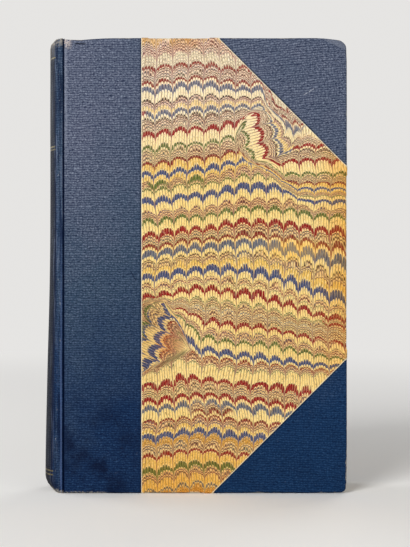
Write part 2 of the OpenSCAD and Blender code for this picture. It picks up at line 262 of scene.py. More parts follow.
class Recipe:
    """Adds nodes to one tree and wires them, so that a finish reads as its formula."""

    def __init__(self, tree):
        self.tree = tree

    def feed(self, socket, value):
        """Links a field to a socket, or sets a plain value on it."""
        if isinstance(value, Field):
            self.tree.links.new(value.socket, socket)
        elif socket.type == "RGBA":
            socket.default_value = (*value, 1.0)
        elif socket.type == "VECTOR" and not is_vector(value):
            socket.default_value = (value, value, value)
        else:
            socket.default_value = value

    def add(self, kind, inputs=None, **settings):
        node = self.tree.nodes.new(kind)
        for name, value in settings.items():
            setattr(node, name, value)
        for key, value in (inputs or {}).items():
            self.feed(node.inputs[key], value)
        return node

    def made(self, kind, inputs=None, output=0, **settings):
        """What a new node puts out."""
        return Field(self, self.add(kind, inputs, **settings).outputs[output])

    def math(self, operation, a, b=0.0, c=0.0):
        return self.made("ShaderNodeMath", {0: a, 1: b, 2: c}, operation=operation)

    def vector(self, operation, a, b=(0.0, 0.0, 0.0)):
        return self.made("ShaderNodeVectorMath", {0: a, 1: b}, operation=operation)

    def worked(self, operation, a, b):
        """A sum on numbers, or on vectors where either side is one."""
        if is_vector(a) or is_vector(b):
            return self.vector(operation, a, b)
        return self.math(operation, a, b)

    def least(self, a, b):
        return self.math("MINIMUM", a, b)

    def most(self, a, b):
        return self.math("MAXIMUM", a, b)

    def floor(self, a):
        return self.math("FLOOR", a)

    def zigzag(self, a, top):
        """Up from 0 to the top and down again, over and over."""
        return self.math("PINGPONG", a, top)

    def step(self, low, high, value, to_min=0.0, to_max=1.0):
        """Smooth step of value from low to high, which may run down as well as up."""
        inputs = {"Value": value, "From Min": low, "From Max": high, "To Min": to_min, "To Max": to_max}
        return self.made("ShaderNodeMapRange", inputs, "Result", interpolation_type="SMOOTHSTEP")

    def within(self, value, outer_low, low, high, outer_high):
        """1 between the inner two places, falling to 0 at the outer two."""
        return self.step(outer_low, low, value) * self.step(outer_high, high, value)

    def length(self, a):
        return self.made("ShaderNodeVectorMath", {0: a}, "Value", operation="LENGTH")

    def lightness(self, colour):
        inputs = {0: colour, 1: EYE_WEIGHTS}
        return self.made("ShaderNodeVectorMath", inputs, "Value", operation="DOT_PRODUCT")

    def turned(self, a, centre, angle):
        inputs = {"Vector": a, "Center": centre, "Angle": angle}
        return self.made("ShaderNodeVectorRotate", inputs, rotation_type="Z_AXIS")

    def apart(self, a):
        node = self.add("ShaderNodeSeparateXYZ", {0: a})
        return [Field(self, output) for output in node.outputs]

    def joined(self, x, y, z=0.0):
        return self.made("ShaderNodeCombineXYZ", {0: x, 1: y, 2: z})

    def cloud(self, place, scale, detail=2.0, rough=0.5):
        """Soft noise between 0 and 1 around 0.5."""
        inputs = {"Vector": place, "Scale": scale, "Detail": detail, "Roughness": rough}
        return self.made("ShaderNodeTexNoise", inputs)

    def chance(self, place):
        """One random value for each whole-numbered place."""
        return self.made("ShaderNodeTexWhiteNoise", {"Vector": place}, noise_dimensions="2D")

    def blend(self, a, b, factor, mode="MIX"):
        return self.made("ShaderNodeMix", {0: factor, 6: a, 7: b}, 2, data_type="RGBA", blend_type=mode)

    def bands(self, value, stops):
        """Fields of colour along a value from 0 to 1, each from its own place to the next."""
        node = self.add("ShaderNodeValToRGB", {0: value})
        ramp = node.color_ramp
        ramp.interpolation = "CONSTANT"
        while len(ramp.elements) < len(stops):
            ramp.elements.new(0.5)
        for element, (place, colour) in zip(ramp.elements, stops):
            element.position = place
            element.color = colour
        return Field(self, node.outputs[0]), Field(self, node.outputs[1])

    def bump(self, height, distance, strength=1.0):
        return self.made("ShaderNodeBump", {"Height": height, "Distance": distance, "Strength": strength})

    def sheet(self):
        """The piece's unfolded sheet in millimetres, U from the joint and V from the tail."""
        return self.made("ShaderNodeUVMap", uv_map="sheet") / MM

    def object_place(self):
        """The place on the book in millimetres."""
        return self.made("ShaderNodeTexCoord", output="Object") / MM


# Shares of red, green and blue in how light a colour looks
EYE_WEIGHTS = (0.2, 0.7, 0.1)
SOCKETS = {"vector": "NodeSocketVector", "value": "NodeSocketFloat", "colour": "NodeSocketColor"}


def new_group(name, inputs, outputs):
    """A node group with sockets of those kinds, a number standing for a value and its default."""
    tree = bpy.data.node_groups.new(name, "ShaderNodeTree")
    for socket, kind in inputs.items():
        socket_type = SOCKETS.get(kind, SOCKETS["value"])
        made = tree.interface.new_socket(socket, in_out="INPUT", socket_type=socket_type)
        if kind not in SOCKETS:
            made.default_value = kind
    for socket, kind in outputs.items():
        tree.interface.new_socket(socket, in_out="OUTPUT", socket_type=SOCKETS[kind])
    recipe = Recipe(tree)
    given = {socket.name: Field(recipe, socket) for socket in recipe.add("NodeGroupInput").outputs}
    result = recipe.add("NodeGroupOutput").inputs
    return recipe, given, result


def use_group(recipe, build, inputs):
    """Places a group in a material, built the first time that it is used."""
    name = build.__name__.replace("_", " ").capitalize()
    tree = bpy.data.node_groups.get(name) or build(name)
    node = recipe.add("ShaderNodeGroup", node_tree=tree)
    for key, value in inputs.items():
        recipe.feed(node.inputs[key], value)
    return {socket.name: Field(recipe, socket) for socket in node.outputs}


def linen_grain(name):
    """Linen-grain cloth: wavy ribs across the sheet, swelling into slubs, over fine upright threads."""
    inputs = {"Place": "vector", "Rib pitch": 1.16, "Thread pitch": 1.32, "Slope": 0.0}
    r, given, result = new_group(name, inputs, {"Height": "value", "Crown": "value", "Pit": "value"})
    place = r.turned(given["Place"], (0.0, 0.0, 0.0), given["Slope"])
    u, v, _ = r.apart(place)
    drift = (r.cloud(place, 0.09, 2.0) - 0.5) * 1.3
    waver = (r.cloud(r.joined(u * 0.6, v * 0.8), 0.9, 2.0) - 0.5) * 1.7
    rib_place = (v + drift + waver) / given["Rib pitch"]
    sway = (r.cloud(place, 0.16, 2.0) - 0.5) * 1.6
    jog = r.chance(r.joined(r.floor(rib_place), 7.0)) * 0.45
    thread_place = (u + sway) / given["Thread pitch"] + jog
    ribs = r.step(0.02, 0.46, r.zigzag(rib_place, 0.5))
    threads = r.step(0.0, 0.40, r.zigzag(thread_place, 0.5))
    slub = r.cloud(r.joined(u * 0.85, rib_place), 0.95, 3.0, 0.66)
    knots = r.cloud(r.joined(u * 1.25, rib_place * 1.3), 1.0, 1.0)
    slub = slub * 0.6 + knots * 0.4
    crown = ribs * (threads * 0.42 + 0.58)
    # The cloth material paints its highlights on the Crown mask and its shade on the Pit mask
    r.feed(result["Height"], crown * (slub * 0.8 + 0.4))
    r.feed(result["Crown"], crown * r.step(0.36, 0.66, slub))
    r.feed(result["Pit"], (1.0 - crown) * r.step(0.66, 0.34, slub))
    return r.tree


def rubbing(name):
    """Ragged wear that gathers where a distance comes down to nothing."""
    inputs = {"Place": "vector", "Distance": 0.0, "Reach": 1.0, "Amount": 0.5}
    r, given, result = new_group(name, inputs, {"Mask": "value"})
    near = 1.0 - r.least(abs(given["Distance"]) / given["Reach"], 1.0)
    ragged = r.cloud(given["Place"], 0.7, 4.0, 0.7)
    slow = r.cloud(given["Place"], 0.09, 2.0)
    level = near * 0.62 + (ragged + slow * 1.6 - 1.3) * 0.9
    wear = r.step(0.62, 0.86, level + given["Amount"] * 0.5)
    r.feed(result["Mask"], wear * r.step(0.0, 0.15, near))
    return r.tree


def foxing(name):
    """Rusty spots and soft clouds of age on paper."""
    inputs = {"Place": "vector", "Colour": "colour", "Age": 0.5}
    r, given, result = new_group(name, inputs, {"Colour": "colour"})
    clouds = r.step(0.35, 0.75, r.cloud(given["Place"], 0.02, 3.0, 0.6))
    patches = r.step(0.42, 0.62, r.cloud(given["Place"], 0.03, 1.0))
    spots = r.step(0.62, 0.72, r.cloud(given["Place"], 0.22, 3.0, 0.6)) * patches
    spots = r.most(spots, r.step(0.67, 0.74, r.cloud(given["Place"], 0.7, 2.0)) * patches)
    toned = r.blend(given["Colour"], (0.80, 0.64, 0.42), clouds * given["Age"] * 0.40, "MULTIPLY")
    spotted = r.blend(toned, (0.35, 0.18, 0.07), spots * given["Age"] * 0.6)
    r.feed(result["Colour"], spotted)
    return r.tree


def thread_weave(name):
    """Plain over-and-under weave, open or close."""
    inputs = {"Place": "vector", "Pitch": 1.0}
    r, given, result = new_group(name, inputs, {"Height": "value", "Gap": "value"})
    place = given["Place"] * math.pi / given["Pitch"]
    u, v, _ = r.apart(place)
    height = r.most(abs(r.math("SINE", u)), abs(r.math("SINE", v)))
    r.feed(result["Height"], height)
    r.feed(result["Gap"], r.step(0.55, 0.35, height))
    return r.tree


# Pigments of the marbled sheet: colour, and how closely it is drawn out into fine veins
PIGMENTS = {
    "cream": ((0.96, 0.80, 0.45), 0.0),
    "faint": ((0.86, 0.75, 0.46), 0.55),
    "straw": ((0.90, 0.65, 0.22), 0.1),
    "amber": ((0.72, 0.38, 0.058), 0.3),
    "crimson": ((0.325, 0.004, 0.007), 0.0),
    "claret": ((0.280, 0.016, 0.010), 0.0),
    "umber": ((0.055, 0.020, 0.013), 0.0),
    "slate": ((0.130, 0.150, 0.215), 0.0),
    "smalt": ((0.058, 0.086, 0.215), 0.0),
    "green": ((0.120, 0.170, 0.034), 0.0),
    "drawn": ((0.72, 0.47, 0.33), 1.0),
    "rose": ((0.72, 0.36, 0.28), 1.0),
}
OUTLINED = ("crimson", "slate", "smalt", "green")
OUTLINE = (0.96, 0.82, 0.56, 1.0)
OUTLINE_W = 0.42

# The combed bands from head to tail, each with its depth in millimetres
BANDS = (
    ("rose", 6.6), ("faint", 4.9), ("claret", 1.7), ("drawn", 5.6), ("claret", 1.5), ("cream", 0.9),
    ("slate", 3.4), ("cream", 3.6), ("umber", 0.8), ("rose", 2.6), ("straw", 2.0), ("slate", 2.9),
    ("cream", 0.9), ("umber", 0.7), ("drawn", 4.7), ("crimson", 3.2), ("cream", 4.4), ("green", 2.4),
    ("drawn", 5.4), ("claret", 1.3), ("straw", 2.8), ("smalt", 3.2), ("straw", 2.0), ("rose", 3.3),
    ("green", 1.8), ("cream", 2.4), ("smalt", 3.6), ("cream", 3.5), ("rose", 3.6), ("green", 2.4),
    ("cream", 3.4), ("crimson", 3.2), ("drawn", 3.3), ("claret", 1.4), ("cream", 1.2), ("slate", 3.6),
    ("cream", 1.8), ("umber", 0.6), ("drawn", 2.5), ("straw", 2.5), ("smalt", 3.6), ("cream", 2.0),
    ("rose", 2.2), ("green", 1.3), ("cream", 0.6), ("crimson", 3.2), ("cream", 2.4), ("green", 1.4),
    ("drawn", 3.4), ("slate", 1.3), ("drawn", 3.7), ("crimson", 2.8), ("cream", 2.6), ("rose", 3.0),
    ("green", 2.3), ("cream", 3.6), ("smalt", 3.4), ("cream", 1.2), ("claret", 0.9), ("rose", 2.7),
    ("green", 1.3), ("cream", 4.6), ("crimson", 3.2), ("drawn", 4.1), ("crimson", 3.2), ("cream", 0.9),
    ("slate", 3.0), ("cream", 4.6), ("claret", 1.2), ("rose", 3.2), ("straw", 1.5), ("smalt", 3.4),
    ("amber", 2.9), ("drawn", 3.4), ("crimson", 2.7), ("straw", 4.1), ("green", 3.4), ("rose", 3.4),
    ("straw", 3.8), ("slate", 1.9), ("amber", 3.3),
)
RAMP_STOPS = 30


def outlined_bands():
    """The bands from tail to head, each strong pigment edged with a pale line, as foot, depth and colour."""
    spread = []
    for pigment, depth in reversed(BANDS):
        colour, veins = PIGMENTS[pigment]
        outlines = [(OUTLINE_W, OUTLINE)] if pigment in OUTLINED else []
        inner = depth - 2 * OUTLINE_W * len(outlines)
        spread += [*outlines, (inner, (*colour, 1.0 - veins)), *outlines]
    placed = []
    foot = 0.0
    for depth, colour in spread:
        placed.append((foot, colour))
        foot += depth
    return placed, foot


def band_colour(r, height):
    """Colour of the sheet at a height on the bands, and how free of veins it is."""
    placed, whole = outlined_bands()
    height = r.math("FLOORED_MODULO", height, whole)
    colour, plain = None, None
    for first in range(0, len(placed), RAMP_STOPS):
        part = placed[first:first + RAMP_STOPS]
        foot = part[0][0]
        top = placed[first + RAMP_STOPS][0] if first + RAMP_STOPS < len(placed) else whole
        stops = [((place - foot) / (top - foot), value) for place, value in part]
        here, here_plain = r.bands((height - foot) / (top - foot), stops)
        if colour is None:
            colour, plain = here, here_plain
            continue
        above = r.math("GREATER_THAN", height, foot)
        colour = r.blend(colour, here, above)
        plain = plain * (1.0 - above) + here_plain * above
    return colour, plain


def drawn_aside(r, place, centre, turn, drag, share, beside, depth=1.0):
    """Where a stylus turned, deepened and dragged the pattern by a share, and left it as beside elsewhere."""
    moved = r.turned(place, centre, turn) - centre
    moved = moved * (1.0, depth, 1.0) + centre
    moved = moved + (0.0, drag, 0.0)
    return beside + (moved - beside) * share


def upper_curl(r, place, centre):
    """The rows fall away to the right of a round curl and climb down through it on edge."""
    arm = place - centre
    x, y, _ = r.apart(arm)
    slant = x + r.least(y + 14.6, 0.0) * 0.9
    fall = r.step(-1.0, 8.0, slant) * r.step(-42.0, -15.0, y, 0.0, 19.5)
    beside = place + r.joined(0.0, fall)
    away = r.length(arm) - x * 0.22
    inner = r.step(-8.0, 10.0, x, 12.5, 6.5)
    return drawn_aside(r, place, centre, 1.34, 7.8, r.step(16.0, inner, away), beside)


def lower_curl(r, place, centre):
    """A leaf-shaped curl: rows pulled up to its tip on the right, and laid over to the left inside it."""
    arm = place - centre
    x, y, _ = r.apart(arm)
    right = (x - 3.9) * 0.899 + (y - 19.0) * 0.439
    below = (x - 14.6) * 0.455 - (y + 5.6) * 0.890
    pulled = r.step(21.5, 5.0, x, 0.0, 15.0) * r.step(-14.0, 4.0, y) * r.step(22.5, 9.0, y)
    pulled = pulled * r.step(-7.0, 4.0, x)
    ray = r.step(13.0, 0.0, abs(x - 10.0), 0.0, 3.6)
    ray = ray * r.within(y, -27.0, -6.0, -4.0, 2.0)
    beside = place - r.joined(0.0, r.most(pulled, ray))
    away = r.most(r.most(right, below), r.length(arm) - 20.5)
    return drawn_aside(r, place, centre, -1.05, -8.8, r.step(0.6, -2.6, away), beside, 0.72)


def row_lift(r, u, v):
    """How far the rows of colour rise, in millimetres, as the bath drifted between the two combings."""
    left = r.step(66.0, 38.0, u, 0.0, -3.4)
    rise = r.step(90.0, 134.0, v, -2.4, 3.8) + r.step(180.0, 200.0, v, 0.0, -6.6)
    spread = r.step(152.0, 130.0, v, 0.0, -4.8) + r.step(132.0, 86.0, v, 0.0, -7.0)
    spread = spread + r.step(88.0, 76.0, v, 0.0, 3.6)
    spread = spread + r.step(68.0, 56.0, v, 0.0, 5.5) + r.step(56.0, 42.0, v, 0.0, -5.0)
    middle = rise * r.step(66.0, 90.0, u)
    return left + middle + spread * r.step(88.0, 138.0, u)


def combed_marbling(name):
    """Bands of colour drawn up and down by combs, with curls turned into them by a stylus."""
    vectors = dict.fromkeys(("Place", "Upper curl", "Lower curl", "Amber pool"), "vector")
    inputs = {**vectors, "Arch pitch": 7.74, "Teeth in an arch": 6.0, "Ground": "colour"}
    r, given, result = new_group(name, inputs, {"Colour": "colour"})
    place = upper_curl(r, given["Place"], given["Upper curl"])
    place = lower_curl(r, place, given["Lower curl"])
    u, v, _ = r.apart(place)
    lift = row_lift(r, u, v)
    wander = (r.cloud(place, 0.035, 1.0) - 0.5) * 2.4
    ripple = (r.cloud(r.joined(u * 0.07, v * 0.25), 1.0, 1.0) - 0.5) * 2.6
    sway = (r.cloud(r.joined(u * 0.6, v, 40.0), 0.045, 1.0) - 0.5) * 7.0
    arch_place = (u + sway) / given["Arch pitch"] + 0.21
    tooth_place = arch_place * given["Teeth in an arch"]
    from_arch = r.zigzag(arch_place, 0.5) * 2.0
    from_tooth = r.zigzag(tooth_place, 0.5) * 2.0
    to_cusp = 1.0 - from_arch
    to_tooth = 1.0 - from_tooth
    arch = to_cusp ** 1.7
    cusp = to_cusp ** 8.0
    tooth = to_tooth ** 1.5
    hair = to_tooth ** 8.0
    number = r.floor(tooth_place + 0.5)
    vigour = 0.55 + r.chance(r.joined(number, r.floor(v * 0.11))) * 0.9
    arch_pull = arch * 2.45 + cusp * 1.15
    tooth_pull = (tooth + hair * 1.3) * vigour
    pull = arch_pull + tooth_pull
    jitter = (r.cloud(r.joined(u * 0.25, v * 0.30, 9.0), 1.0, 1.0) - 0.5) * 1.5
    level = v - lift + wander + ripple + jitter
    across = level + pull - 0.9

    here, here_plain = band_colour(r, across)
    there, there_plain = band_colour(r, across + 83.0)
    shift_place = r.joined(u * 0.020, across * 0.075)
    shifted = r.step(0.640, 0.670, r.cloud(shift_place, 1.0, 1.0))
    colour = r.blend(here, there, shifted)
    plain = here_plain * (1.0 - shifted) + there_plain * shifted
    veined = 1.0 - plain
    arm = given["Place"] - given["Lower curl"]
    arm_x, arm_y, _ = r.apart(arm)
    snarled = r.within(arm_y, 3.0, 9.0, 20.0, 24.0) * r.step(4.0, -1.0, arm_x)
    snarled = snarled * r.step(-16.0, -11.0, arm_x, 0.0, 0.85)
    snarled = snarled * r.step(0.10, 0.40, r.lightness(colour))
    colour = r.blend(colour, (0.76, 0.54, 0.30), snarled)
    veined = r.most(veined, snarled)

    # Fine veins: arcs of brown, grey and green between threads of the pale ground
    thin = (level + arch_pull + tooth_pull * 0.6) / 1.38
    thin = thin + r.cloud(place, 0.22, 1.0) * 1.6
    wave = r.zigzag(thin, 0.5) * 2.0
    pick = r.chance(r.joined(r.floor(thin + 0.5), r.floor(u * 0.05)))
    vein = r.blend((0.125, 0.030, 0.020), (0.095, 0.100, 0.120), r.step(0.50, 0.56, pick))
    vein = r.blend(vein, (0.120, 0.130, 0.040), r.step(0.76, 0.82, pick))
    strength = r.step(0.3, 0.55, r.cloud(r.joined(u * 0.14, across * 0.5), 1.0, 2.0), 0.7, 1.0)
    colour = r.blend(colour, vein, r.step(0.34, 0.80, wave) * veined * strength)
    colour = r.blend(colour, (0.94, 0.76, 0.47), r.step(0.42, 0.10, wave) * veined * 0.9)

    # Lines that the comb's teeth drew in the pale bands, and pale ground dragged through the dark ones
    strand = r.cloud(r.joined(tooth_place * 0.9, v * 0.16), 1.0, 2.0)
    is_pale = r.step(0.25, 0.5, r.lightness(colour))
    hairline = r.step(0.56, 1.0, to_tooth) * r.step(0.35, 0.6, strand, 0.35, 1.0)
    colour = r.blend(colour, (0.21, 0.085, 0.040), hairline * is_pale)
    drag = r.step(0.70, 1.0, tooth) * (0.26 - is_pale * 0.26)
    colour = r.blend(colour, given["Ground"], drag * strand)
    core = r.step(0.50, 0.10, to_tooth) * (1.0 - is_pale)
    colour = r.blend(colour, (0.36, 0.32, 0.36), core * r.step(0.3, 0.6, strand, 0.35, 0.95), "MULTIPLY")
    fleck = r.cloud(r.joined(tooth_place * 1.3, across * 0.9), 1.3, 3.0, 0.65)
    lifted = r.step(0.52, 0.64, fleck, 0.0, 0.9) * (0.20 + is_pale * 0.80)
    colour = r.blend(colour, (0.96, 0.88, 0.68), lifted)
    colour = r.blend(colour, (0.13, 0.055, 0.035), r.step(0.46, 0.32, fleck, 0.0, 0.85))
    wake = r.step(0.88, 1.0, to_cusp) * r.step(0.42, 0.62, strand, 0.05, 0.55)
    colour = r.blend(colour, (0.30, 0.155, 0.16), wake)
    pool = (given["Place"] - given["Amber pool"]) * (0.055, 0.16, 0.0)
    pooled = r.step(1.2, 0.3, r.length(pool), 0.0, 0.6)
    colour = r.blend(colour, (0.98, 0.61, 0.12), pooled * (0.3 + is_pale * 0.7))
    warm = r.step(7.5, 3.0, r.length(arm - (3.4, -1.6, 0.0)), 0.0, 0.5)
    colour = r.blend(colour, (0.84, 0.33, 0.085), warm * (0.15 + is_pale * 0.85))
    root = (arm - (8.0, 0.0, 0.0)) * (0.21, 0.115, 0.0)
    browned = r.step(1.2, 0.5, r.length(root), 0.0, 0.6) * (0.2 + is_pale * 0.8)
    colour = r.blend(colour, (0.46, 0.25, 0.19), browned)
    trail = (arm_x - 14.6) * 0.455 - (arm_y + 4.6) * 0.890
    greened = r.within(trail, -1.9, -0.1, 0.3, 1.9)
    greened = greened * r.within(arm_x, -8.0, 6.0, 10.5, 14.0)
    colour = r.blend(colour, (0.135, 0.125, 0.050), greened * r.step(0.30, 0.60, strand, 0.30, 0.85))
    inked = r.step(25.0, 10.0, r.length(arm + (6.0, -1.0, 0.0)), 0.0, 0.6)
    colour = r.blend(colour, (0.80, 0.68, 0.58), inked, "MULTIPLY")
    r.feed(result["Colour"], colour)
    return r.tree


def new_material(name, **fixed):
    """A material with a Principled BSDF that holds the given plain values, and its recipe."""
    material = bpy.data.materials.new(name)
    material.use_nodes = True
    recipe = Recipe(material.node_tree)
    shader = material.node_tree.nodes["Principled BSDF"]
    for socket, value in fixed.items():
        shader.inputs[socket.replace("_", " ")].default_value = value
    return material, recipe, shader.inputs


def board_edge(r, u, v):
    """Distance in millimetres in from a cover's free edges, less than nothing past them."""
    from_fore = COVER_W / MM - u
    from_head = COVER_H / MM - v
    return r.least(from_fore, r.least(v, from_head))


def cloth_material(name, slope=0.0, on_spine=False, crease_shade=0.0):
    """Blue linen-grain cloth: faded and greyed toward the head, part real fading and part painted sheen, with
    painted highlights on the thread crowns and painted shade in the pits, rubbed pale along its edges.
    """
    colours = bpy.context.scene.book_colours
    material, r, shader = new_material(name, Specular_IOR_Level=0.06)
    sheet = r.sheet()
    u, v, _ = r.apart(sheet)
    grain = use_group(r, linen_grain, {"Place": sheet, "Slope": slope})
    mottle = r.cloud(sheet, 0.045, 4.0, 0.6)
    # Painted sheen: the cloth greys toward the head, a little less by the joint; part real fading, part the
    # light's sheen painted in
    fade_and_sheen = r.step(0.0, 200.0, v, 0.0, 0.97) + (mottle - 0.5) * 0.55
    fade_and_sheen = fade_and_sheen + r.step(37.0, 4.0, u, -0.10, 0.02)
    on_corner = r.step(55.0, 75.0, u)
    if on_spine:
        streaks = r.cloud(r.object_place() * (0.6, 0.6, 0.03), 1.0, 3.0, 0.6)
        fade_and_sheen = fade_and_sheen * 0.42 + r.step(0.4, 0.7, streaks, -0.05, 0.24)
    fade_and_sheen = r.least(r.most(fade_and_sheen, 0.0), 1.0)
    base = r.blend(colours.cloth, colours.part_faded, r.least(fade_and_sheen * 2.0, 1.0))
    base = r.blend(base, colours.faded_cloth, r.most(fade_and_sheen * 2.0 - 1.0, 0.0))
    # Deeper blue on the corners, where the painted fade and sheen is low
    unfaded = on_corner * r.step(0.4, 0.0, fade_and_sheen, 0.0, 0.75)
    base = r.blend(base, (0.0052, 0.0330, 0.100), unfaded)
    # Painted highlight on the thread crowns and painted shade in the pits, stronger where the cloth is faded
    # and sheened
    bright = r.blend((0.028, 0.074, 0.168), (0.245, 0.275, 0.355), fade_and_sheen)
    dark = r.blend((0.0010, 0.0052, 0.026), (0.009, 0.016, 0.046), fade_and_sheen)
    lit = r.blend(base, bright, grain["Crown"] * r.step(0.0, 1.0, fade_and_sheen, 0.7, 0.95))
    tinted = r.blend(lit, dark, grain["Pit"] * r.step(0.0, 1.0, fade_and_sheen, 0.7, 0.95))
    blotch = r.step(58.0, 20.0, v) * r.step(0.42, 0.62, r.cloud(sheet, 0.06, 4.0, 0.6))
    tinted = r.blend(tinted, (0.0012, 0.0045, 0.022), blotch * r.step(44.0, 20.0, u, 0.15, 0.8))
    if on_spine:
        edge = r.least(v, COVER_H / MM - v)
        reach, amount = 4.0, 0.40
    else:
        edge = board_edge(r, u, v)
        reach, amount = 1.3, 0.36
    inputs = {"Place": sheet, "Distance": edge + 0.2, "Reach": reach, "Amount": amount}
    worn = use_group(r, rubbing, inputs)["Mask"]
    if on_spine:
        tinted = worn_spine(r, tinted, u, v, grain["Height"])
    else:
        tinted = worn_side(r, tinted, sheet, u, v)
    scuffs = r.step(0.64, 0.74, r.cloud(sheet, 0.33, 4.0, 0.7))
    scuffs = scuffs * (0.3 + grain["Crown"]) * r.step(0.0, 0.6, fade_and_sheen, 0.22, 0.4)
    colour = r.blend(tinted, (0.24, 0.26, 0.31), scuffs)
    if on_spine:
        # Painted shade in the spine cloth's side of each crease
        colour = r.blend(colour, (0.0014, 0.0080, 0.036), r.step(-2.05, -1.55, u, 0.0, 0.92))
    colour = r.blend(colour, colours.bare_thread, worn * (0.5 + grain["Height"] * 0.3))
    # Painted shade at the bottom of a joint's crease
    if crease_shade:
        colour = r.blend(colour, (0.0014, 0.0080, 0.038), crease_shade)
    rough = r.step(0.0, 1.0, mottle, 0.55, 0.72)
    if on_spine:
        leaf = gilt_rules(r, sheet, v) * r.step(-7.2, -7.9, u)
        colour = r.blend(colour, colours.gilt, leaf)
        r.feed(shader["Metallic"], leaf * 0.6)
        rough = rough - leaf * 0.18
    r.feed(shader["Base Color"], colour)
    r.feed(shader["Roughness"], rough)
    height = grain["Height"] + r.cloud(sheet, 0.6, 3.0) * 0.6
    r.feed(shader["Normal"], r.bump(height, 0.00013, 0.8))
    return material


def worn_spine(r, tinted, u, v, grain):
    """The spine's wear: a greyed back, a painted shade line beside it and a painted highlight along the ridge
    toward the tail.
    """
    shelf = u + (r.cloud(r.joined(u, v * 0.15), 0.5, 3.0) - 0.5) * 1.2
    shelf = shelf + r.step(140.0, 0.0, v, 0.0, 1.2)
    dull = r.blend((0.006, 0.007, 0.009), (0.019, 0.019, 0.022), grain)
    dull = r.blend(dull, (0.038, 0.040, 0.046), r.step(150.0, 200.0, v, 0.0, 0.42))
    dull = r.blend(dull, (0.110, 0.098, 0.080), r.step(211.0, 216.0, v) * 0.6)
    tinted = r.blend(tinted, dull, r.step(-7.7, -8.3, shelf) * 0.9)
    # Painted shade: a dark line where the rounded back turns away from the light, beside the greyed band
    shade = r.within(shelf, -8.7, -8.2, -7.2, -6.2)
    tinted = r.blend(tinted, (0.0028, 0.0070, 0.026), shade * r.step(220.0, 150.0, v, 0.6, 0.95))
    streak = r.cloud(r.object_place() * (0.8, 0.8, 0.05), 1.0, 3.0, 0.65)
    by_joint = r.step(-14.0, -8.5, u, 0.35, 1.0)
    tinted = r.blend(tinted, (0.004, 0.010, 0.034), by_joint * r.step(0.52, 0.36, streak, 0.0, 0.85))
    pale_streak = r.step(0.52, 0.68, streak) * r.step(0.0, 160.0, v, 0.25, 0.7)
    tinted = r.blend(tinted, (0.115, 0.145, 0.220), by_joint * pale_streak)
    ragged = r.cloud(r.object_place(), 0.8, 4.0, 0.7)
    cap = r.step(217.6, 220.6, v) * r.step(0.40, 0.55, ragged)
    tinted = r.blend(tinted, (0.34, 0.31, 0.27), cap * 0.7)
    specks = r.step(0.66, 0.72, r.cloud(r.joined(u * 1.2, v * 0.55), 0.6, 3.0, 0.6))
    specks = specks * r.within(u, -6.6, -5.8, -2.6, -2.0)
    tinted = r.blend(tinted, (0.36, 0.38, 0.42), specks * 0.75)
    # Painted highlight along the ridge by the crease, growing toward the tail
    ridge = r.within(u, -3.0, -2.5, -2.35, -2.05)
    return r.blend(tinted, (0.078, 0.128, 0.275), ridge * r.step(165.0, 30.0, v, 0.0, 0.85))


def worn_side(r, tinted, sheet, u, v):
    """Wear on the covers' cloth: a pale arris by the joint, part rubbed wear and part painted highlight, a
    whitened head and scratches, and a painted shadow along the marbled paper's cut edges.
    """
    ragged = r.cloud(sheet, 0.9, 4.0, 0.7)
    # Pale arris by the joint: part rubbed wear, part painted highlight
    arris = r.step(2.1, 1.3, u) * r.step(150.0, 188.0, v)
    tinted = r.blend(tinted, (0.215, 0.240, 0.310), arris * r.step(0.35, 0.62, ragged, 0.15, 0.75))
    by_joint = r.step(4.6, 2.0, u) * r.step(216.0, 219.5, v)
    tinted = r.blend(tinted, (0.52, 0.45, 0.42), by_joint * r.step(0.42, 0.56, ragged))
    slit_u, slit_v = HEAD_SLIT
    slit = v - slit_v + (u - slit_u) * 0.05 + (ragged - 0.5) * 0.7
    torn = r.step(0.34, 0.16, abs(slit)) * r.step(3.0, 2.3, abs(u - slit_u))
    tinted = r.blend(tinted, (0.003, 0.004, 0.010), torn)
    by_tail = r.within(v, -2.0, -0.8, 0.2, 1.1)
    frays = by_tail * r.step(22.0, 17.0, u) * r.step(0.44, 0.60, ragged)
    tinted = r.blend(tinted, (0.40, 0.36, 0.30), frays)
    along, up = u - DARK_SCRATCH[0], v - DARK_SCRATCH[1]
    scratch = r.step(0.30, 0.12, abs(along * 0.876 + up * 0.482)) * r.step(2.8, 2.2, abs(up))
    tinted = r.blend(tinted, (0.006, 0.012, 0.034), scratch * 0.8)
    along, up = u - PALE_SCRATCH[0], v - PALE_SCRATCH[1]
    scratch = r.step(0.30, 0.10, abs(along * 0.53 - up * 0.85)) * r.step(3.0, 2.0, abs(along))
    tinted = r.blend(tinted, (0.34, 0.36, 0.42), scratch * r.step(0.40, 0.55, ragged))
    facet = (u - CRUSHED_CORNER[0]) * 0.383 + (v - CRUSHED_CORNER[1]) * 0.924
    tinted = r.blend(tinted, (0.170, 0.190, 0.245), r.step(-0.3, 0.5, facet, 0.0, 0.55))
    # Painted shadow that the marbled paper's cut edge casts on the cloth beside it
    paper_edge_shadow = r.step(-1.1, -0.2, cut_distance(r, u, v))
    return r.blend(tinted, (0.004, 0.010, 0.032), paper_edge_shadow * 0.72)


def gilt_rules(r, sheet, v):
    """Mask of the plain gilt rules across the spine, rubbed thin in places."""
    nearest = 100.0
    for height in GILT_RULES:
        nearest = r.least(nearest, abs(v - height))
    return r.step(0.42, 0.26, nearest) * r.step(0.36, 0.56, r.cloud(sheet, 0.8, 3.0, 0.7))


def from_cuts(across, up, unit=1.0):
    """Distances in from the marbled paper's cut edges: by the joint, at the head and at the tail."""
    sizes = bpy.context.scene.book_sizes
    head_line = (COVER_W + COVER_H - sizes.head_corner_leg) / unit
    tail_line = (COVER_W - sizes.tail_corner_leg) / unit
    from_head = (head_line - (across + up)) * math.sqrt(0.5)
    from_tail = (tail_line - (across - up)) * math.sqrt(0.5)
    return across - STRIP_W / unit, from_head, from_tail


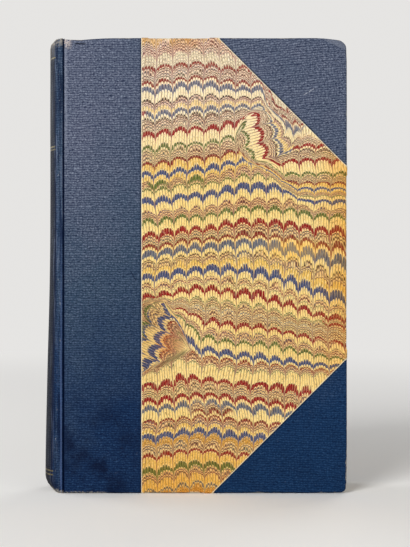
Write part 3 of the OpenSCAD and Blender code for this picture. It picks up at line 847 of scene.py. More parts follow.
def cut_distance(r, u, v):
    """Distance in millimetres in from the nearest of the marbled paper's cut edges."""
    from_strip, from_head, from_tail = from_cuts(u, v, MM)
    return r.least(from_strip, r.least(from_head, from_tail))


def marbled_material(name, upper_curl, lower_curl, shift):
    """Combed marbled paper, browned at its edges and rubbed to the core along its cuts."""
    colours = bpy.context.scene.book_colours
    material, r, shader = new_material(name, Specular_IOR_Level=0.09)
    sheet = r.sheet()
    u, v, _ = r.apart(sheet)
    inputs = {
        "Place": sheet + shift,
        "Upper curl": upper_curl,
        "Lower curl": lower_curl,
        "Amber pool": tuple(a + b for a, b in zip(AMBER_POOL, shift)),
        "Ground": colours.cream,
    }
    pattern = use_group(r, combed_marbling, inputs)["Colour"]
    edge = board_edge(r, u, v)
    x, _, z = r.apart(r.object_place())
    cut = cut_distance(r, x - JOINT_X / MM, z)
    aged = use_group(r, foxing, {"Place": sheet, "Colour": pattern, "Age": 0.35})["Colour"]
    fore_tone = r.step(118.0, 140.0, u) * (0.3 + r.cloud(sheet, 0.05, 2.0))
    foot_tone = r.step(34.0, 0.0, v) * (0.2 + r.cloud(sheet, 0.03, 2.0))
    head_tone = r.step(213.0, 222.0, v) * r.step(0.42, 0.62, r.cloud(sheet, 0.06, 2.0), 0.0, 0.6)
    tone = r.most(fore_tone, r.most(foot_tone, head_tone))
    pale = r.step(0.08, 0.40, r.lightness(aged), 0.15, 1.0)
    yellowed = r.step(196.0, 145.0, v) * (0.65 + r.cloud(sheet, 0.02, 2.0) * 0.5)
    aged = r.blend(aged, (1.0, 0.86, 0.50), yellowed * pale, "MULTIPLY")
    aged = r.blend(aged, (0.84, 0.64, 0.58), r.step(150.0, 205.0, v, 0.0, 0.16) * pale)
    toned = r.blend(aged, (0.92, 0.57, 0.12), tone * 0.72, "MULTIPLY")
    toned = r.blend(toned, (0.66, 0.38, 0.06), tone * 0.12)
    rubbed = use_group(r, rubbing, {"Place": sheet, "Distance": edge, "Reach": 1.5, "Amount": 0.35})["Mask"]
    core = r.blend(toned, (0.78, 0.70, 0.52), rubbed)
    core = r.blend(core, (0.84, 0.76, 0.55), r.step(0.55, 0.2, cut) * 0.7)
    scuff = r.step(0.60, 0.76, r.cloud(sheet, 0.9, 4.0, 0.75))
    scuff = scuff * r.step(0.5, 0.62, r.cloud(sheet, 0.05, 2.0))
    core = r.blend(core, (0.80, 0.74, 0.60), scuff * 0.45)
    r.feed(shader["Base Color"], core)
    r.feed(shader["Roughness"], r.step(0.0, 1.0, r.cloud(sheet, 0.08, 3.0), 0.34, 0.56) + rubbed * 0.25)
    fibre = r.cloud(sheet, 1.3, 4.0, 0.6) + r.cloud(sheet, 0.12, 3.0) * 1.5
    r.feed(shader["Normal"], r.bump(fibre, 0.00010, 0.6))
    return material


def page_edge_material():
    """Edges of hundreds of leaves: fine lines of light and grime that run along the block."""
    colours = bpy.context.scene.book_colours
    material, r, shader = new_material("Page edges", Specular_IOR_Level=0.25, Roughness=0.85)
    place = r.object_place()
    lines = r.cloud(place * (0.03, 6.0, 0.03), 1.0, 4.0, 0.75)
    groups = r.cloud(place * (0.01, 0.8, 0.01), 1.0, 2.0)
    base = r.blend(colours.leaf, (0.33, 0.24, 0.14), r.step(0.46, 0.72, lines, 0.0, 0.75))
    base = r.blend(base, (0.78, 0.70, 0.53), r.step(0.45, 0.25, lines, 0.0, 0.6))
    base = r.blend(base, (0.42, 0.30, 0.18), r.step(0.5, 0.75, groups, 0.0, 0.5))
    _, _, z = r.apart(place)
    dust = r.step((BLOCK_TOP - 0.002) / MM, BLOCK_TOP / MM, z) * r.cloud(place, 0.08, 3.0)
    base = r.blend(base, (0.30, 0.26, 0.20), dust * 0.75)
    aged = use_group(r, foxing, {"Place": place, "Colour": base, "Age": 0.8})["Colour"]
    r.feed(shader["Base Color"], aged)
    r.feed(shader["Normal"], r.bump(lines, 0.00012, 0.9))
    return material


def endpaper_material():
    """Laid paper gone cream, with chain lines and brown offsets from the turn-ins."""
    colours = bpy.context.scene.book_colours
    material, r, shader = new_material("Laid endpaper", Specular_IOR_Level=0.3, Roughness=0.8)
    sheet = r.sheet()
    u, v, _ = r.apart(sheet)
    wires = r.math("SINE", v * math.tau / 0.9) * 0.5 + 0.5
    chains = r.step(0.45, 0.0, abs(r.math("WRAP", u, 12.5, -12.5)))
    laid = wires * 0.5 + chains
    clouds = r.step(0.3, 0.7, r.cloud(sheet, 0.025, 5.0, 0.6))
    base = r.blend(colours.leaf, (0.74, 0.65, 0.47), clouds)
    base = r.blend(base, (0.52, 0.41, 0.26), laid * 0.15)
    offset = r.step(20.0, 13.0, board_edge(r, u, v)) * (0.35 + r.cloud(sheet, 0.06, 3.0))
    base = r.blend(base, (0.50, 0.34, 0.17), offset * 0.45)
    base = r.blend(base, (0.45, 0.32, 0.18), r.step(12.0, 0.0, u) * 0.35)
    aged = use_group(r, foxing, {"Place": sheet, "Colour": base, "Age": 1.0})["Colour"]
    r.feed(shader["Base Color"], aged)
    fibre = laid * 0.5 + r.cloud(sheet, 1.6, 4.0, 0.6)
    r.feed(shader["Normal"], r.bump(fibre, 0.00006, 0.7))
    return material


def straw_board_material():
    """Grey-brown board of pressed straw with flecks."""
    material, r, shader = new_material("Straw board", Specular_IOR_Level=0.2, Roughness=0.9)
    place = r.object_place()
    flecks = r.cloud(place * (1.0, 4.0, 1.0), 0.9, 4.0, 0.7)
    base = r.blend((0.36, 0.28, 0.17), (0.52, 0.44, 0.30), r.step(0.35, 0.65, flecks))
    r.feed(shader["Base Color"], base)
    r.feed(shader["Normal"], r.bump(flecks, 0.0002, 0.8))
    return material


def woven_material(name, thread, gap, pitch):
    """Woven cotton or linen under the coverings, stiff with glue."""
    material, r, shader = new_material(name, Specular_IOR_Level=0.25, Roughness=0.85)
    place = r.object_place()
    x, y, z = r.apart(place)
    weave = use_group(r, thread_weave, {"Place": r.joined(x + y, z), "Pitch": pitch})
    base = r.blend(thread, gap, weave["Gap"])
    glue = r.step(0.45, 0.7, r.cloud(place, 0.12, 3.0), 0.0, 0.5)
    r.feed(shader["Base Color"], r.blend(base, (0.38, 0.27, 0.13), glue))
    r.feed(shader["Normal"], r.bump(weave["Height"], 0.00015, 0.8))
    return material


def card_material():
    """Brown card of the hollow back."""
    material, r, shader = new_material("Spine card", Specular_IOR_Level=0.2, Roughness=0.9)
    place = r.object_place()
    fibre = r.cloud(place * (1.0, 1.0, 0.3), 0.8, 4.0, 0.65)
    r.feed(shader["Base Color"], r.blend((0.30, 0.21, 0.12), (0.46, 0.35, 0.22), fibre))
    r.feed(shader["Normal"], r.bump(fibre, 0.00015, 0.8))
    return material


def headband_material():
    """Silk sewn over a core in two faded colours."""
    material, r, shader = new_material("Headband silk", Roughness=0.6, Sheen_Weight=0.2)
    place = r.object_place()
    _, y, _ = r.apart(place)
    stripe = r.step(0.42, 0.58, r.zigzag(y * 0.36, 1.0))
    base = r.blend((0.62, 0.50, 0.28), (0.30, 0.07, 0.05), stripe)
    dust = r.cloud(place, 0.6, 3.0)
    r.feed(shader["Base Color"], r.blend(base, (0.36, 0.30, 0.22), dust * 0.5))
    threads = r.math("SINE", y * math.tau / 0.24)
    r.feed(shader["Normal"], r.bump(threads, 0.0001, 0.8))
    return material


def dress(piece, material):
    """Gives a piece or a CAD node one material all over."""
    if not piece.material_slots:
        piece.data.materials.append(material)
    for slot in piece.material_slots:
        slot.material = material


def start_piece(add, name, **settings):
    """Adds a primitive with nothing else selected, and names it."""
    if bpy.context.object is not None and bpy.context.object.mode != "OBJECT":
        bpy.ops.object.mode_set(mode="OBJECT")
    bpy.ops.object.select_all(action="DESELECT")
    add(**settings)
    piece = bpy.context.object
    piece.name = name
    piece.data.name = name
    bpy.ops.object.transform_apply(location=True, rotation=True, scale=True)
    return piece


def grid(name, columns, rows):
    """A flat grid from -1 to 1, to be laid out point by point."""
    return start_piece(
        bpy.ops.mesh.primitive_grid_add, name, x_subdivisions=columns, y_subdivisions=rows, size=2.0
    )


def pick(piece, kind, test):
    """In edit mode, selects the edges or faces whose points pass a test."""
    bpy.ops.mesh.select_mode(type=kind)
    bpy.ops.mesh.select_all(action="DESELECT")
    mesh = bmesh.from_edit_mesh(piece.data)
    for item in mesh.edges if kind == "EDGE" else mesh.faces:
        if test([vertex.co for vertex in item.verts]):
            item.select_set(True)
    bmesh.update_edit_mesh(piece.data)


def turn_faces_out():
    """In edit mode, makes a closed or nearly closed mesh face outward."""
    bpy.ops.mesh.select_all(action="SELECT")
    bpy.ops.mesh.normals_make_consistent(inside=False)


def cut(place, normal, clear_inner=False, clear_outer=False):
    """In edit mode, bisects the whole mesh with a plane, given from the joint in X."""
    bpy.ops.mesh.select_all(action="SELECT")
    bpy.ops.mesh.bisect(
        plane_co=(place[0] + JOINT_X, place[1], place[2]),
        plane_no=normal,
        clear_inner=clear_inner,
        clear_outer=clear_outer,
        use_fill=False,
        threshold=1e-6,
    )


def close_to(distance, reach):
    """1 at no distance, falling evenly to 0 at the reach."""
    return max(0.0, 1 - distance / reach)


def spaced(start, end, step):
    """Even places between two ends, without the ends."""
    count = max(1, round((end - start) / step))
    return [start + (end - start) * i / count for i in range(1, count)]


def cover_block(name, side):
    """A board-sized block with its fore-edge corners and its free edges rounded, left in edit mode."""
    sizes = bpy.context.scene.book_sizes
    low = (JOINT_X + BOARD_X, side * INSIDE, BOARD_FOOT)
    high = (JOINT_X + BOARD_END, side * OUTSIDE, BOARD_TOP)
    middle = [(a + b) / 2 for a, b in zip(low, high)]
    size = [abs(b - a) for a, b in zip(low, high)]
    piece = start_piece(bpy.ops.mesh.primitive_cube_add, name, size=1.0, location=middle, scale=size)
    end = JOINT_X + BOARD_END - NEAR
    spine_side = JOINT_X + BOARD_X + NEAR

    def is_free(points):
        depths = [abs(p.y) for p in points]
        on_a_face = min(depths) > OUTSIDE - NEAR or max(depths) < INSIDE + NEAR
        return on_a_face and max(p.x for p in points) > spine_side

    rounded = (
        (sizes.head_corner_r, 8, lambda points: all(p.x > end and p.z > BOARD_TOP - NEAR for p in points)),
        (sizes.tail_corner_r, 6, lambda points: all(p.x > end and p.z < BOARD_FOOT + NEAR for p in points)),
        (sizes.arris, 4, is_free),
        (
            sizes.crease_r - CLOTH_T,
            5,
            lambda points: all(p.x < spine_side and abs(p.y) > OUTSIDE - NEAR for p in points),
        ),
    )
    bpy.ops.object.mode_set(mode="EDIT")
    for radius, segments, test in rounded:
        pick(piece, "EDGE", test)
        bpy.ops.mesh.bevel(offset=radius, segments=segments, affect="EDGES")
    slice_block(sizes)
    return piece


def slice_block(sizes):
    """Cuts a cover's block into small faces, finer toward its free edges, so that it can be shaped."""
    start = BOARD_X + 0.002
    margin = 0.005
    close = (0.0012, 0.0025, 0.004)
    turned_in = sizes.turn_in - CLOTH_T - PAPER_T
    across = spaced(start, BOARD_END - margin, sizes.step)
    across += [BOARD_END - row for row in close] + [start, BOARD_END - margin]
    up = spaced(BOARD_FOOT + margin, BOARD_TOP - margin, sizes.step)
    up += [BOARD_FOOT + row for row in close] + [BOARD_TOP - row for row in close]
    up += [BOARD_FOOT + margin, BOARD_TOP - margin]
    for x in across:
        cut((x, 0, 0), (1, 0, 0))
    for z in up:
        cut((0, 0, z), (0, 0, 1))
    cut((BOARD_END - turned_in, 0, 0), (1, 0, 0))
    for z in (BOARD_FOOT + turned_in, BOARD_TOP - turned_in):
        cut((0, 0, z), (0, 0, 1))


def open_block(piece):
    """Takes away what a covering leaves bare: the middle of the inside and the spine's edge."""
    sizes = bpy.context.scene.book_sizes
    turned_in = sizes.turn_in - CLOTH_T - PAPER_T
    spine_side = JOINT_X + BOARD_X + 2e-6

    def is_bare(points):
        middle = sum(points, Vector()) / len(points)
        inside = abs(middle.y) < INSIDE + NEAR and (
            middle.x < JOINT_X + BOARD_END - turned_in
            and BOARD_FOOT + turned_in < middle.z < BOARD_TOP - turned_in
        )
        return inside or middle.x < spine_side

    pick(piece, "FACE", is_bare)
    bpy.ops.mesh.delete(type="FACE")


def knocked(x, depth, z):
    """How wear has moved a point of a cover, as a shift along X, depth and Z."""
    to_head = COVER_H - z
    to_fore = COVER_W - x
    dent = DENT_DEPTH * math.exp(-(((x - DENT_X) / DENT_HALF_W) ** 2))
    shift = Vector((0.0, 0.0, -dent * close_to(to_head, DENT_REACH) ** 2))
    shift += HEAD_CRUSH * close_to(math.hypot(to_fore, to_head), HEAD_CRUSH_REACH) ** 2
    shift += TAIL_CRUSH * close_to(math.hypot(to_fore, z), TAIL_CRUSH_REACH) ** 2
    wave = noise.noise(Vector((x * 60, depth * 40, z * 60))) * 0.00008
    wave_reach = 0.004
    shift.x += wave * close_to(to_fore, wave_reach)
    shift.z += wave * 2 * (close_to(to_head, wave_reach) + close_to(z, wave_reach))
    return shift


def knock(piece, side):
    """Moves a cover piece's points as wear has moved the cover."""
    for vertex in piece.data.vertices:
        x, y, z = vertex.co
        shift = knocked(x - JOINT_X, abs(y), z)
        vertex.co = (x + shift.x, y + side * shift.y, z + shift.z)


def raise_points(piece, height_at):
    """Moves each point out along its normal."""
    normals = [vertex.normal.copy() for vertex in piece.data.vertices]
    for vertex, normal in zip(piece.data.vertices, normals):
        vertex.co += normal * height_at(vertex.co)


def unfold(piece, spots):
    """Writes each point's place on the flat sheet into the piece's own UV map."""
    layer = piece.data.uv_layers.new(name="sheet")
    for loop in piece.data.loops:
        layer.data[loop.index].uv = spots[loop.vertex_index]


def unfolded(x, depth, z):
    """Place of a cover's point on its skin laid out flat: on past the free edges, and back inside them."""
    folded = max(0.0, OUTSIDE + CLOTH_T - depth)
    to_fore = BOARD_END - x
    to_head = BOARD_TOP - z
    to_tail = z - BOARD_FOOT
    inside = depth < INSIDE
    nearest = min(to_fore, to_head, to_tail)
    widest_turn_in = 0.016
    if nearest > widest_turn_in:
        return x, z
    if nearest == to_fore:
        return (BOARD_END + folded + to_fore if inside else x + folded), z
    if nearest == to_head:
        return x, (BOARD_TOP + folded + to_head if inside else z + folded)
    return x, (BOARD_FOOT - folded - to_tail if inside else z - folded)


def face_out(piece, direction, counts=lambda middle: True):
    """Turns a sheet's faces over if the first face that counts looks away from a direction."""
    first = next(face for face in piece.data.polygons if counts(face.center))
    if first.normal.dot(direction) < 0:
        piece.data.flip_normals()


def thicken(piece, thickness, offset):
    """Gives a sheet its thickness and soft shading, with the modifier applied."""
    modifier = piece.modifiers.new("thickness", "SOLIDIFY")
    modifier.thickness = thickness
    modifier.offset = offset
    modifier.use_even_offset = True
    bpy.context.view_layer.objects.active = piece
    bpy.ops.object.modifier_apply(modifier=modifier.name)
    bpy.ops.object.shade_smooth_by_angle(angle=SMOOTH)


def finish_skin(piece, name, material, node, thickness, height_at=None):
    """Lifts, unfolds, knocks and thickens a covering, and sets it in place of its node."""
    bpy.ops.object.mode_set(mode="OBJECT")
    if height_at:
        raise_points(piece, height_at)
    unfold(piece, [unfolded(v.co.x - JOINT_X, abs(v.co.y), v.co.z) for v in piece.data.vertices])
    knock(piece, SIDES[name])
    thicken(piece, thickness, 1.0)
    dress(piece, material)
    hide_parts(node)
    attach(piece, f"{name}_cover")


def corner_legs():
    """Each fore-edge corner: whether it is at the head, and the leg of its cloth."""
    sizes = bpy.context.scene.book_sizes
    return (True, sizes.head_corner_leg), (False, sizes.tail_corner_leg)


def corner_cut(leg, at_head, outward):
    """Plane of a cloth corner's long edge, moved outward from the corner."""
    x = COVER_W - leg - outward * math.sqrt(2)
    if at_head:
        return (x, 0, COVER_H), (1, 0, 1)
    return (x, 0, 0), (1, 0, -1)


class BOOK_OT_boards(bpy.types.Operator):
    """Shape the two cover boards with knocked corners"""

    bl_idname = "book.boards"
    bl_label = "Boards"

    def execute(self, context):
        straw = straw_board_material()
        for name, side in SIDES.items():
            piece = cover_block(f"{name}_board_worn", side)
            bpy.ops.object.mode_set(mode="OBJECT")
            knock(piece, side)
            bpy.ops.object.shade_smooth_by_angle(angle=SMOOTH)
            dress(piece, straw)
            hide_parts(f"{name}_board")
            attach(piece, f"{name}_cover")
        return {"FINISHED"}


class BOOK_OT_cloth_sides(bpy.types.Operator):
    """Lay the spine's cloth over the joint side of each cover"""

    bl_idname = "book.cloth_sides"
    bl_label = "Cloth sides"

    def execute(self, context):
        cloth = cloth_material("Blue cloth, sides")
        for name, side in SIDES.items():
            piece = cover_block(f"{name}_cloth_side", side)
            cut((STRIP_W + LAP_W, 0, 0), (1, 0, 0), clear_outer=True)
            open_block(piece)
            finish_skin(piece, name, cloth, f"spine_cloth_{name}_side", CLOTH_T)
        return {"FINISHED"}


class BOOK_OT_cloth_corners(bpy.types.Operator):
    """Fold the cloth corners over the covers' fore-edge corners"""

    bl_idname = "book.cloth_corners"
    bl_label = "Cloth corners"

    def execute(self, context):
        for at_head, leg in corner_legs():
            end = "head" if at_head else "tail"
            cloth = cloth_material(f"Blue cloth, {end} corners", slope=-0.09 if at_head else 0.03)
            for name, side in SIDES.items():
                piece = cover_block(f"{name}_cloth_corner_{end}", side)
                cut(*corner_cut(leg, at_head, LAP_W), clear_inner=True)
                open_block(piece)
                finish_skin(piece, name, cloth, f"{name}_corner_{end}", CLOTH_T)
        return {"FINISHED"}


class BOOK_OT_side_papers(bpy.types.Operator):
    """Paste the marbled papers on the covers, lapped over the edges of the cloth"""

    bl_idname = "book.side_papers"
    bl_label = "Marbled sides"

    def execute(self, context):
        looks = {name: marbled_material(f"Marbled paper, {name}", *CURLS[name]) for name in SIDES}
        for name, side in SIDES.items():
            piece = cover_block(f"{name}_marbled_paper", side)
            for inward in (0.0, LAP_W, LAP_W + LAP_DROP):
                trims = inward == 0.0
                cut((STRIP_W + inward, 0, 0), (1, 0, 0), clear_inner=trims)
                for at_head, leg in corner_legs():
                    cut(*corner_cut(leg, at_head, inward), clear_outer=trims)
            open_block(piece)
            node = f"{name}_side_paper"
            finish_skin(piece, name, looks[name], node, PAPER_T, lap_height)
        return {"FINISHED"}


def lap_height(point):
    """How far the marbled paper stands off the board, over the cloth's edge and down to the board."""
    inward = min(from_cuts(point.x - JOINT_X, point.z)) - LAP_W
    down = min(1.0, max(0.0, inward / LAP_DROP))
    return CLOTH_T * (1 - down)


def spine_depth(z):
    """How far the spine stands out past the joint at a height: swollen at the tail, in at the caps."""
    sizes = bpy.context.scene.book_sizes
    swell_most = SPINE_OUT - sizes.spine_round + TAIL_LOSS
    up = min(1.0, max(0.0, z) / (sizes.swell_reach * COVER_H))
    swell = swell_most * (1 - up * up * (3 - 2 * up))
    swell = max(0.0, swell - TAIL_PULL * close_to(z - SPINE_FOOT, TAIL_CAP_H) ** 2)
    from_end = max(0.0, min(z - SPINE_FOOT, SPINE_TOP - z))
    lean = 0.8 * BLOCK_FOOT * close_to(from_end, BLOCK_FOOT) ** 2
    return sizes.spine_round + swell - lean


def on_round(depth, t, inset):
    """Point of the rounded back from the front ridge (t -1) to the back one (1), and the way in from it."""
    crease_x = bpy.context.scene.book_sizes.crease_r + CREASE_GAP
    out = depth - crease_x
    a = t * math.pi / 2
    inward = Vector((RIDGE * math.cos(a), -out * math.sin(a))).normalized()
    return Vector((-crease_x - out * math.cos(a), RIDGE * math.sin(a))) + inward * inset, inward


def cap_path(t, cap_turn, lip):
    """Height and inset of the spine cloth along it, from inside the head's cap (-1) to the tail's (1)."""
    bend = lip / 2
    bend_length = lip * 1.2
    wall = SPINE_TOP - SPINE_FOOT
    along = (1 - abs(t)) / 2 * (wall + 2 * (cap_turn + bend_length))
    if along < cap_turn:
        from_end = cap_turn - along + bend
        inset = lip
    elif along < cap_turn + bend_length:
        turn = (along - cap_turn) / bend_length * math.pi
        from_end = bend - bend * math.sin(turn)
        inset = bend + bend * math.cos(turn)
    else:
        from_end = bend + (along - cap_turn - bend_length) / wall * (wall - lip)
        inset = 0.0
    return (SPINE_TOP - from_end if t < 0 else SPINE_FOOT + from_end), inset


class BOOK_OT_spine_cloth(bpy.types.Operator):
    """Sweep the cloth over the hollow back, in at the caps and down into both creases"""

    bl_idname = "book.spine_cloth"
    bl_label = "Spine cloth"

    def execute(self, context):
        sizes = context.scene.book_sizes
        cloth = cloth_material("Blue cloth, spine", on_spine=True)
        piece = grid("spine_cloth_worn", 88, 150)
        lip = sizes.stiffener_t + 2 * CLOTH_T
        whole = SPINE_TOP - SPINE_FOOT + 2 * (sizes.cap_turn + lip * 1.2)
        half_girth = math.pi / 2 * math.sqrt(((sizes.spine_round - 0.001) ** 2 + RIDGE**2) / 2)
        spots = []
        for vertex in piece.data.vertices:
            s, up = vertex.co.x, vertex.co.y
            z, inset = cap_path(-up, sizes.cap_turn, lip)
            x, y = self.around(sizes, s, inset, z)
            vertex.co = (JOINT_X + x, y, z)
            spots.append((-0.001 - (1 - abs(s)) * half_girth, (SPINE_FOOT + SPINE_TOP + up * whole) / 2))
        unfold(piece, spots)
        bpy.ops.object.mode_set(mode="EDIT")
        turn_faces_out()
        bpy.ops.object.mode_set(mode="OBJECT")
        face_out(piece, Vector((-1, 0, 0)), self.on_outside)
        self.wear(piece)
        thicken(piece, CLOTH_T, -1.0)
        dress(piece, cloth)
        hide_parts("spine_cloth")
        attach(piece, "block")
        return {"FINISHED"}

    def around(self, sizes, s, inset, z):
        """Place across the spine, from the front crease (s -1) to the back one (1), and so far in."""
        into_crease = (abs(s) - (1 - CREASE_SHARE)) / CREASE_SHARE
        if into_crease <= 0:
            z_in = min(max(z, SPINE_FOOT + CLOTH_T), SPINE_TOP - CLOTH_T)
            return on_round(spine_depth(z_in), s / (1 - CREASE_SHARE), inset)[0]
        turn = into_crease * math.pi / 2
        radius = max(0.0, sizes.crease_r - inset)
        x = -sizes.crease_r - CREASE_GAP + radius * math.sin(turn)
        y = RIDGE - max(sizes.crease_r, inset) + radius * math.cos(turn)
        return x, math.copysign(y, s)

    def on_outside(self, middle):
        """Whether a place is on the outside of the spine, clear of its caps."""
        return 0.05 < middle.z < 0.15 and middle.x < JOINT_X - 0.005

    def wear(self, piece):
        """Ripples the loose cloth on the spine and frays its head."""
        for vertex in piece.data.vertices:
            x, y, z = vertex.co
            if x > JOINT_X - 0.0012:
                continue
            ripple = noise.noise(Vector((x * 90, y * 90, z * 28))) * 0.00012
            frayed = noise.noise(Vector((x * 900, y * 900, 3.0))) * 0.0005 * close_to(SPINE_TOP - z, 0.004)
            vertex.co.x -= abs(ripple)
            vertex.co.z += min(0.0, frayed)


def laid_sheet(name, side, columns, rows, place, flat=None):
    """A grid laid over a sheet by shares of its width and height. U is X, or what flat makes of s."""
    piece = grid(name, columns, rows)
    spots = []
    for vertex in piece.data.vertices:
        s, t = (vertex.co.x + 1) / 2, (vertex.co.y + 1) / 2
        x, depth, z = place(s, t)
        spots.append((flat(s) if flat else x, z))
        vertex.co = (JOINT_X + x, side * depth, z)
    unfold(piece, spots)
    return piece


class BOOK_OT_joint_cloth(bpy.types.Operator):
    """Lay the cloth at the bottom of each joint's crease"""

    bl_idname = "book.joint_cloth"
    bl_label = "Joint cloth"

    def execute(self, context):
        # The joint cloth is darkened with painted crease shade
        cloth = cloth_material("Blue cloth, joints", crease_shade=0.9)
        block_x = -CREASE_GAP - CLOTH_T / 2
        cover_x = BOARD_X - CLOTH_T / 2
        block_depth = RIDGE - context.scene.book_sizes.crease_r
        clear = 0.00003
        cover_depth = OUTSIDE - clear
        short = 0.0004
        sag = 0.0004

        def place(s, t):
            a = s * math.pi
            x = (block_x + cover_x) / 2 - (cover_x - block_x) / 2 * math.cos(a)
            depth = block_depth + (cover_depth - block_depth) * s - sag * math.sin(a) + 0.0001
            return x, depth, SPINE_FOOT + short + t * (SPINE_TOP - SPINE_FOOT - 2 * short)

        for name, side in SIDES.items():
            piece = laid_sheet(f"{name}_joint_cloth", side, 16, 60, place, lambda s: s * 0.002 - 0.001)
            face_out(piece, Vector((0, side, 0)))
            thicken(piece, CLOTH_T * 0.6, 0.0)
            dress(piece, cloth)
            start = (JOINT_X + block_x, side * block_depth, 0.1)
            end = (JOINT_X + cover_x, side * block_depth, 0.1)
            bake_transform(piece)
        return {"FINISHED"}


class BOOK_OT_text_block(bpy.types.Operator):
    """Shape the pages: rounded back, hollow fore-edge and the dips between sections"""

    bl_idname = "book.text_block"
    bl_label = "Pages"

    def execute(self, context):
        sizes = context.scene.book_sizes
        piece = start_piece(bpy.ops.mesh.primitive_cube_add, "pages", size=2.0)
        bpy.ops.object.mode_set(mode="EDIT")
        bpy.ops.mesh.select_all(action="SELECT")
        bpy.ops.mesh.subdivide(number_cuts=4 * sizes.sections - 1)
        bpy.ops.object.mode_set(mode="OBJECT")
        for vertex in piece.data.vertices:
            vertex.co = self.page_point(sizes, *vertex.co)
        bpy.ops.object.shade_smooth_by_angle(angle=math.radians(50))
        dress(piece, page_edge_material())
        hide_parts("text_block")
        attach(piece, "block")
        return {"FINISHED"}

    def page_point(self, sizes, i, j, k):
        """A point of the pages: i from back to fore-edge, j across the sections, k from tail to head."""
        place = (j + 1) / 2 * sizes.sections
        section = math.floor(place)
        in_section = place - section
        dip = close_to(min(in_section, 1 - in_section), 0.25) if 0 < place < sizes.sections else 0.0
        groove = dip * SECTION_DIP
        rag = noise.noise(Vector((section * 3.7, 1.3, 5.1))) * SECTION_STRAY
        crease_x = sizes.crease_r + CREASE_GAP
        back_depth = sizes.spine_round - BACK_ROOM - crease_x
        back_x = -crease_x - back_depth * math.sqrt(max(0.0, 1 - (j * 0.999) ** 2))
        fore_x = BLOCK_END - FORE_HOLLOW * (1 - j * j) + rag
        share = (i + 1) / 2
        x = back_x + (fore_x - back_x) * share
        shoulder = RIDGE - (sizes.stiffener_t + 2 * CLOTH_T + SHOULDER_ROOM)
        y = j * (shoulder + (BLOCK_HALF - shoulder) * min(1.0, share / SHOULDER_SHARE))
        z = (BLOCK_FOOT + BLOCK_TOP) / 2 + k * (BLOCK_TOP - BLOCK_FOOT) / 2
        if abs(k) > 0.999:
            z -= math.copysign(groove + abs(rag) * 0.7, k)
        if abs(i) > 0.998:
            x -= math.copysign(groove, i)
        return JOINT_X + x, y, z


class BOOK_OT_inner_parts(bpy.types.Operator):
    """Finish the mull, tapes and card inside the binding"""

    bl_idname = "book.inner_parts"
    bl_label = "Inner parts"

    def execute(self, context):
        mull = woven_material("Mull", (0.62, 0.53, 0.36), (0.20, 0.14, 0.08), 0.9)
        tape = woven_material("Linen tape", (0.66, 0.58, 0.42), (0.42, 0.34, 0.22), 0.45)
        dressed = {
            mull: ("mull", "mull_front_flange", "mull_back_flange"),
            tape: ("sewing_tapes", "front_tape_slips", "back_tape_slips"),
            card_material(): ("spine_stiffener",),
        }
        for material, nodes in dressed.items():
            for node in nodes:
                dress(frame["nodes"][node], material)
        return {"FINISHED"}


class BOOK_OT_headbands(bpy.types.Operator):
    """Wind silk thread round the cord of each headband"""

    bl_idname = "book.headbands"
    bl_label = "Headbands"

    def execute(self, context):
        silk = headband_material()
        for end in ("head", "tail"):
            self.roll(context.scene.book_sizes, end, silk)
        return {"FINISHED"}

    def roll(self, sizes, end, silk):
        low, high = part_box(f"headband_{end}")
        wraps, rings_a_wrap, sides = 46, 4, 12
        piece = grid(f"headband_{end}_wound", wraps * rings_a_wrap, sides)
        radius = (high[2] - low[2]) / 2
        middle_z = (high[2] + low[2]) / 2
        inset = low[0] - JOINT_X + radius + sizes.spine_round
        reach = 0.8
        for vertex in piece.data.vertices:
            i, k = vertex.co.x, (vertex.co.y + 1) * math.pi
            in_wrap = (i + 1) / 2 * wraps % 1.0
            bulge = math.sqrt(max(0.0, 1 - (2 * in_wrap - 1) ** 2))
            end_round = min(1.0, 40 * (1 - abs(i))) ** 0.5
            size = radius * (0.86 + 0.14 * bulge) * (0.55 + 0.45 * end_round)
            centre, inward = on_round(sizes.spine_round, i * reach, inset)
            point = centre - inward * size * math.cos(k)
            vertex.co = (JOINT_X + point.x, point.y, middle_z + size * math.sin(k))
        bpy.ops.object.mode_set(mode="EDIT")
        bpy.ops.mesh.select_all(action="SELECT")
        bpy.ops.mesh.remove_doubles(threshold=1e-6)
        bpy.ops.mesh.select_all(action="DESELECT")
        bpy.ops.mesh.select_mode(type="EDGE")
        bpy.ops.mesh.select_non_manifold()
        bpy.ops.mesh.fill_holes(sides=sides)
        turn_faces_out()
        bpy.ops.object.mode_set(mode="OBJECT")
        bpy.ops.object.shade_smooth_by_angle(angle=math.radians(60))
        dress(piece, silk)
        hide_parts(f"headband_{end}")
        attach(piece, "block")


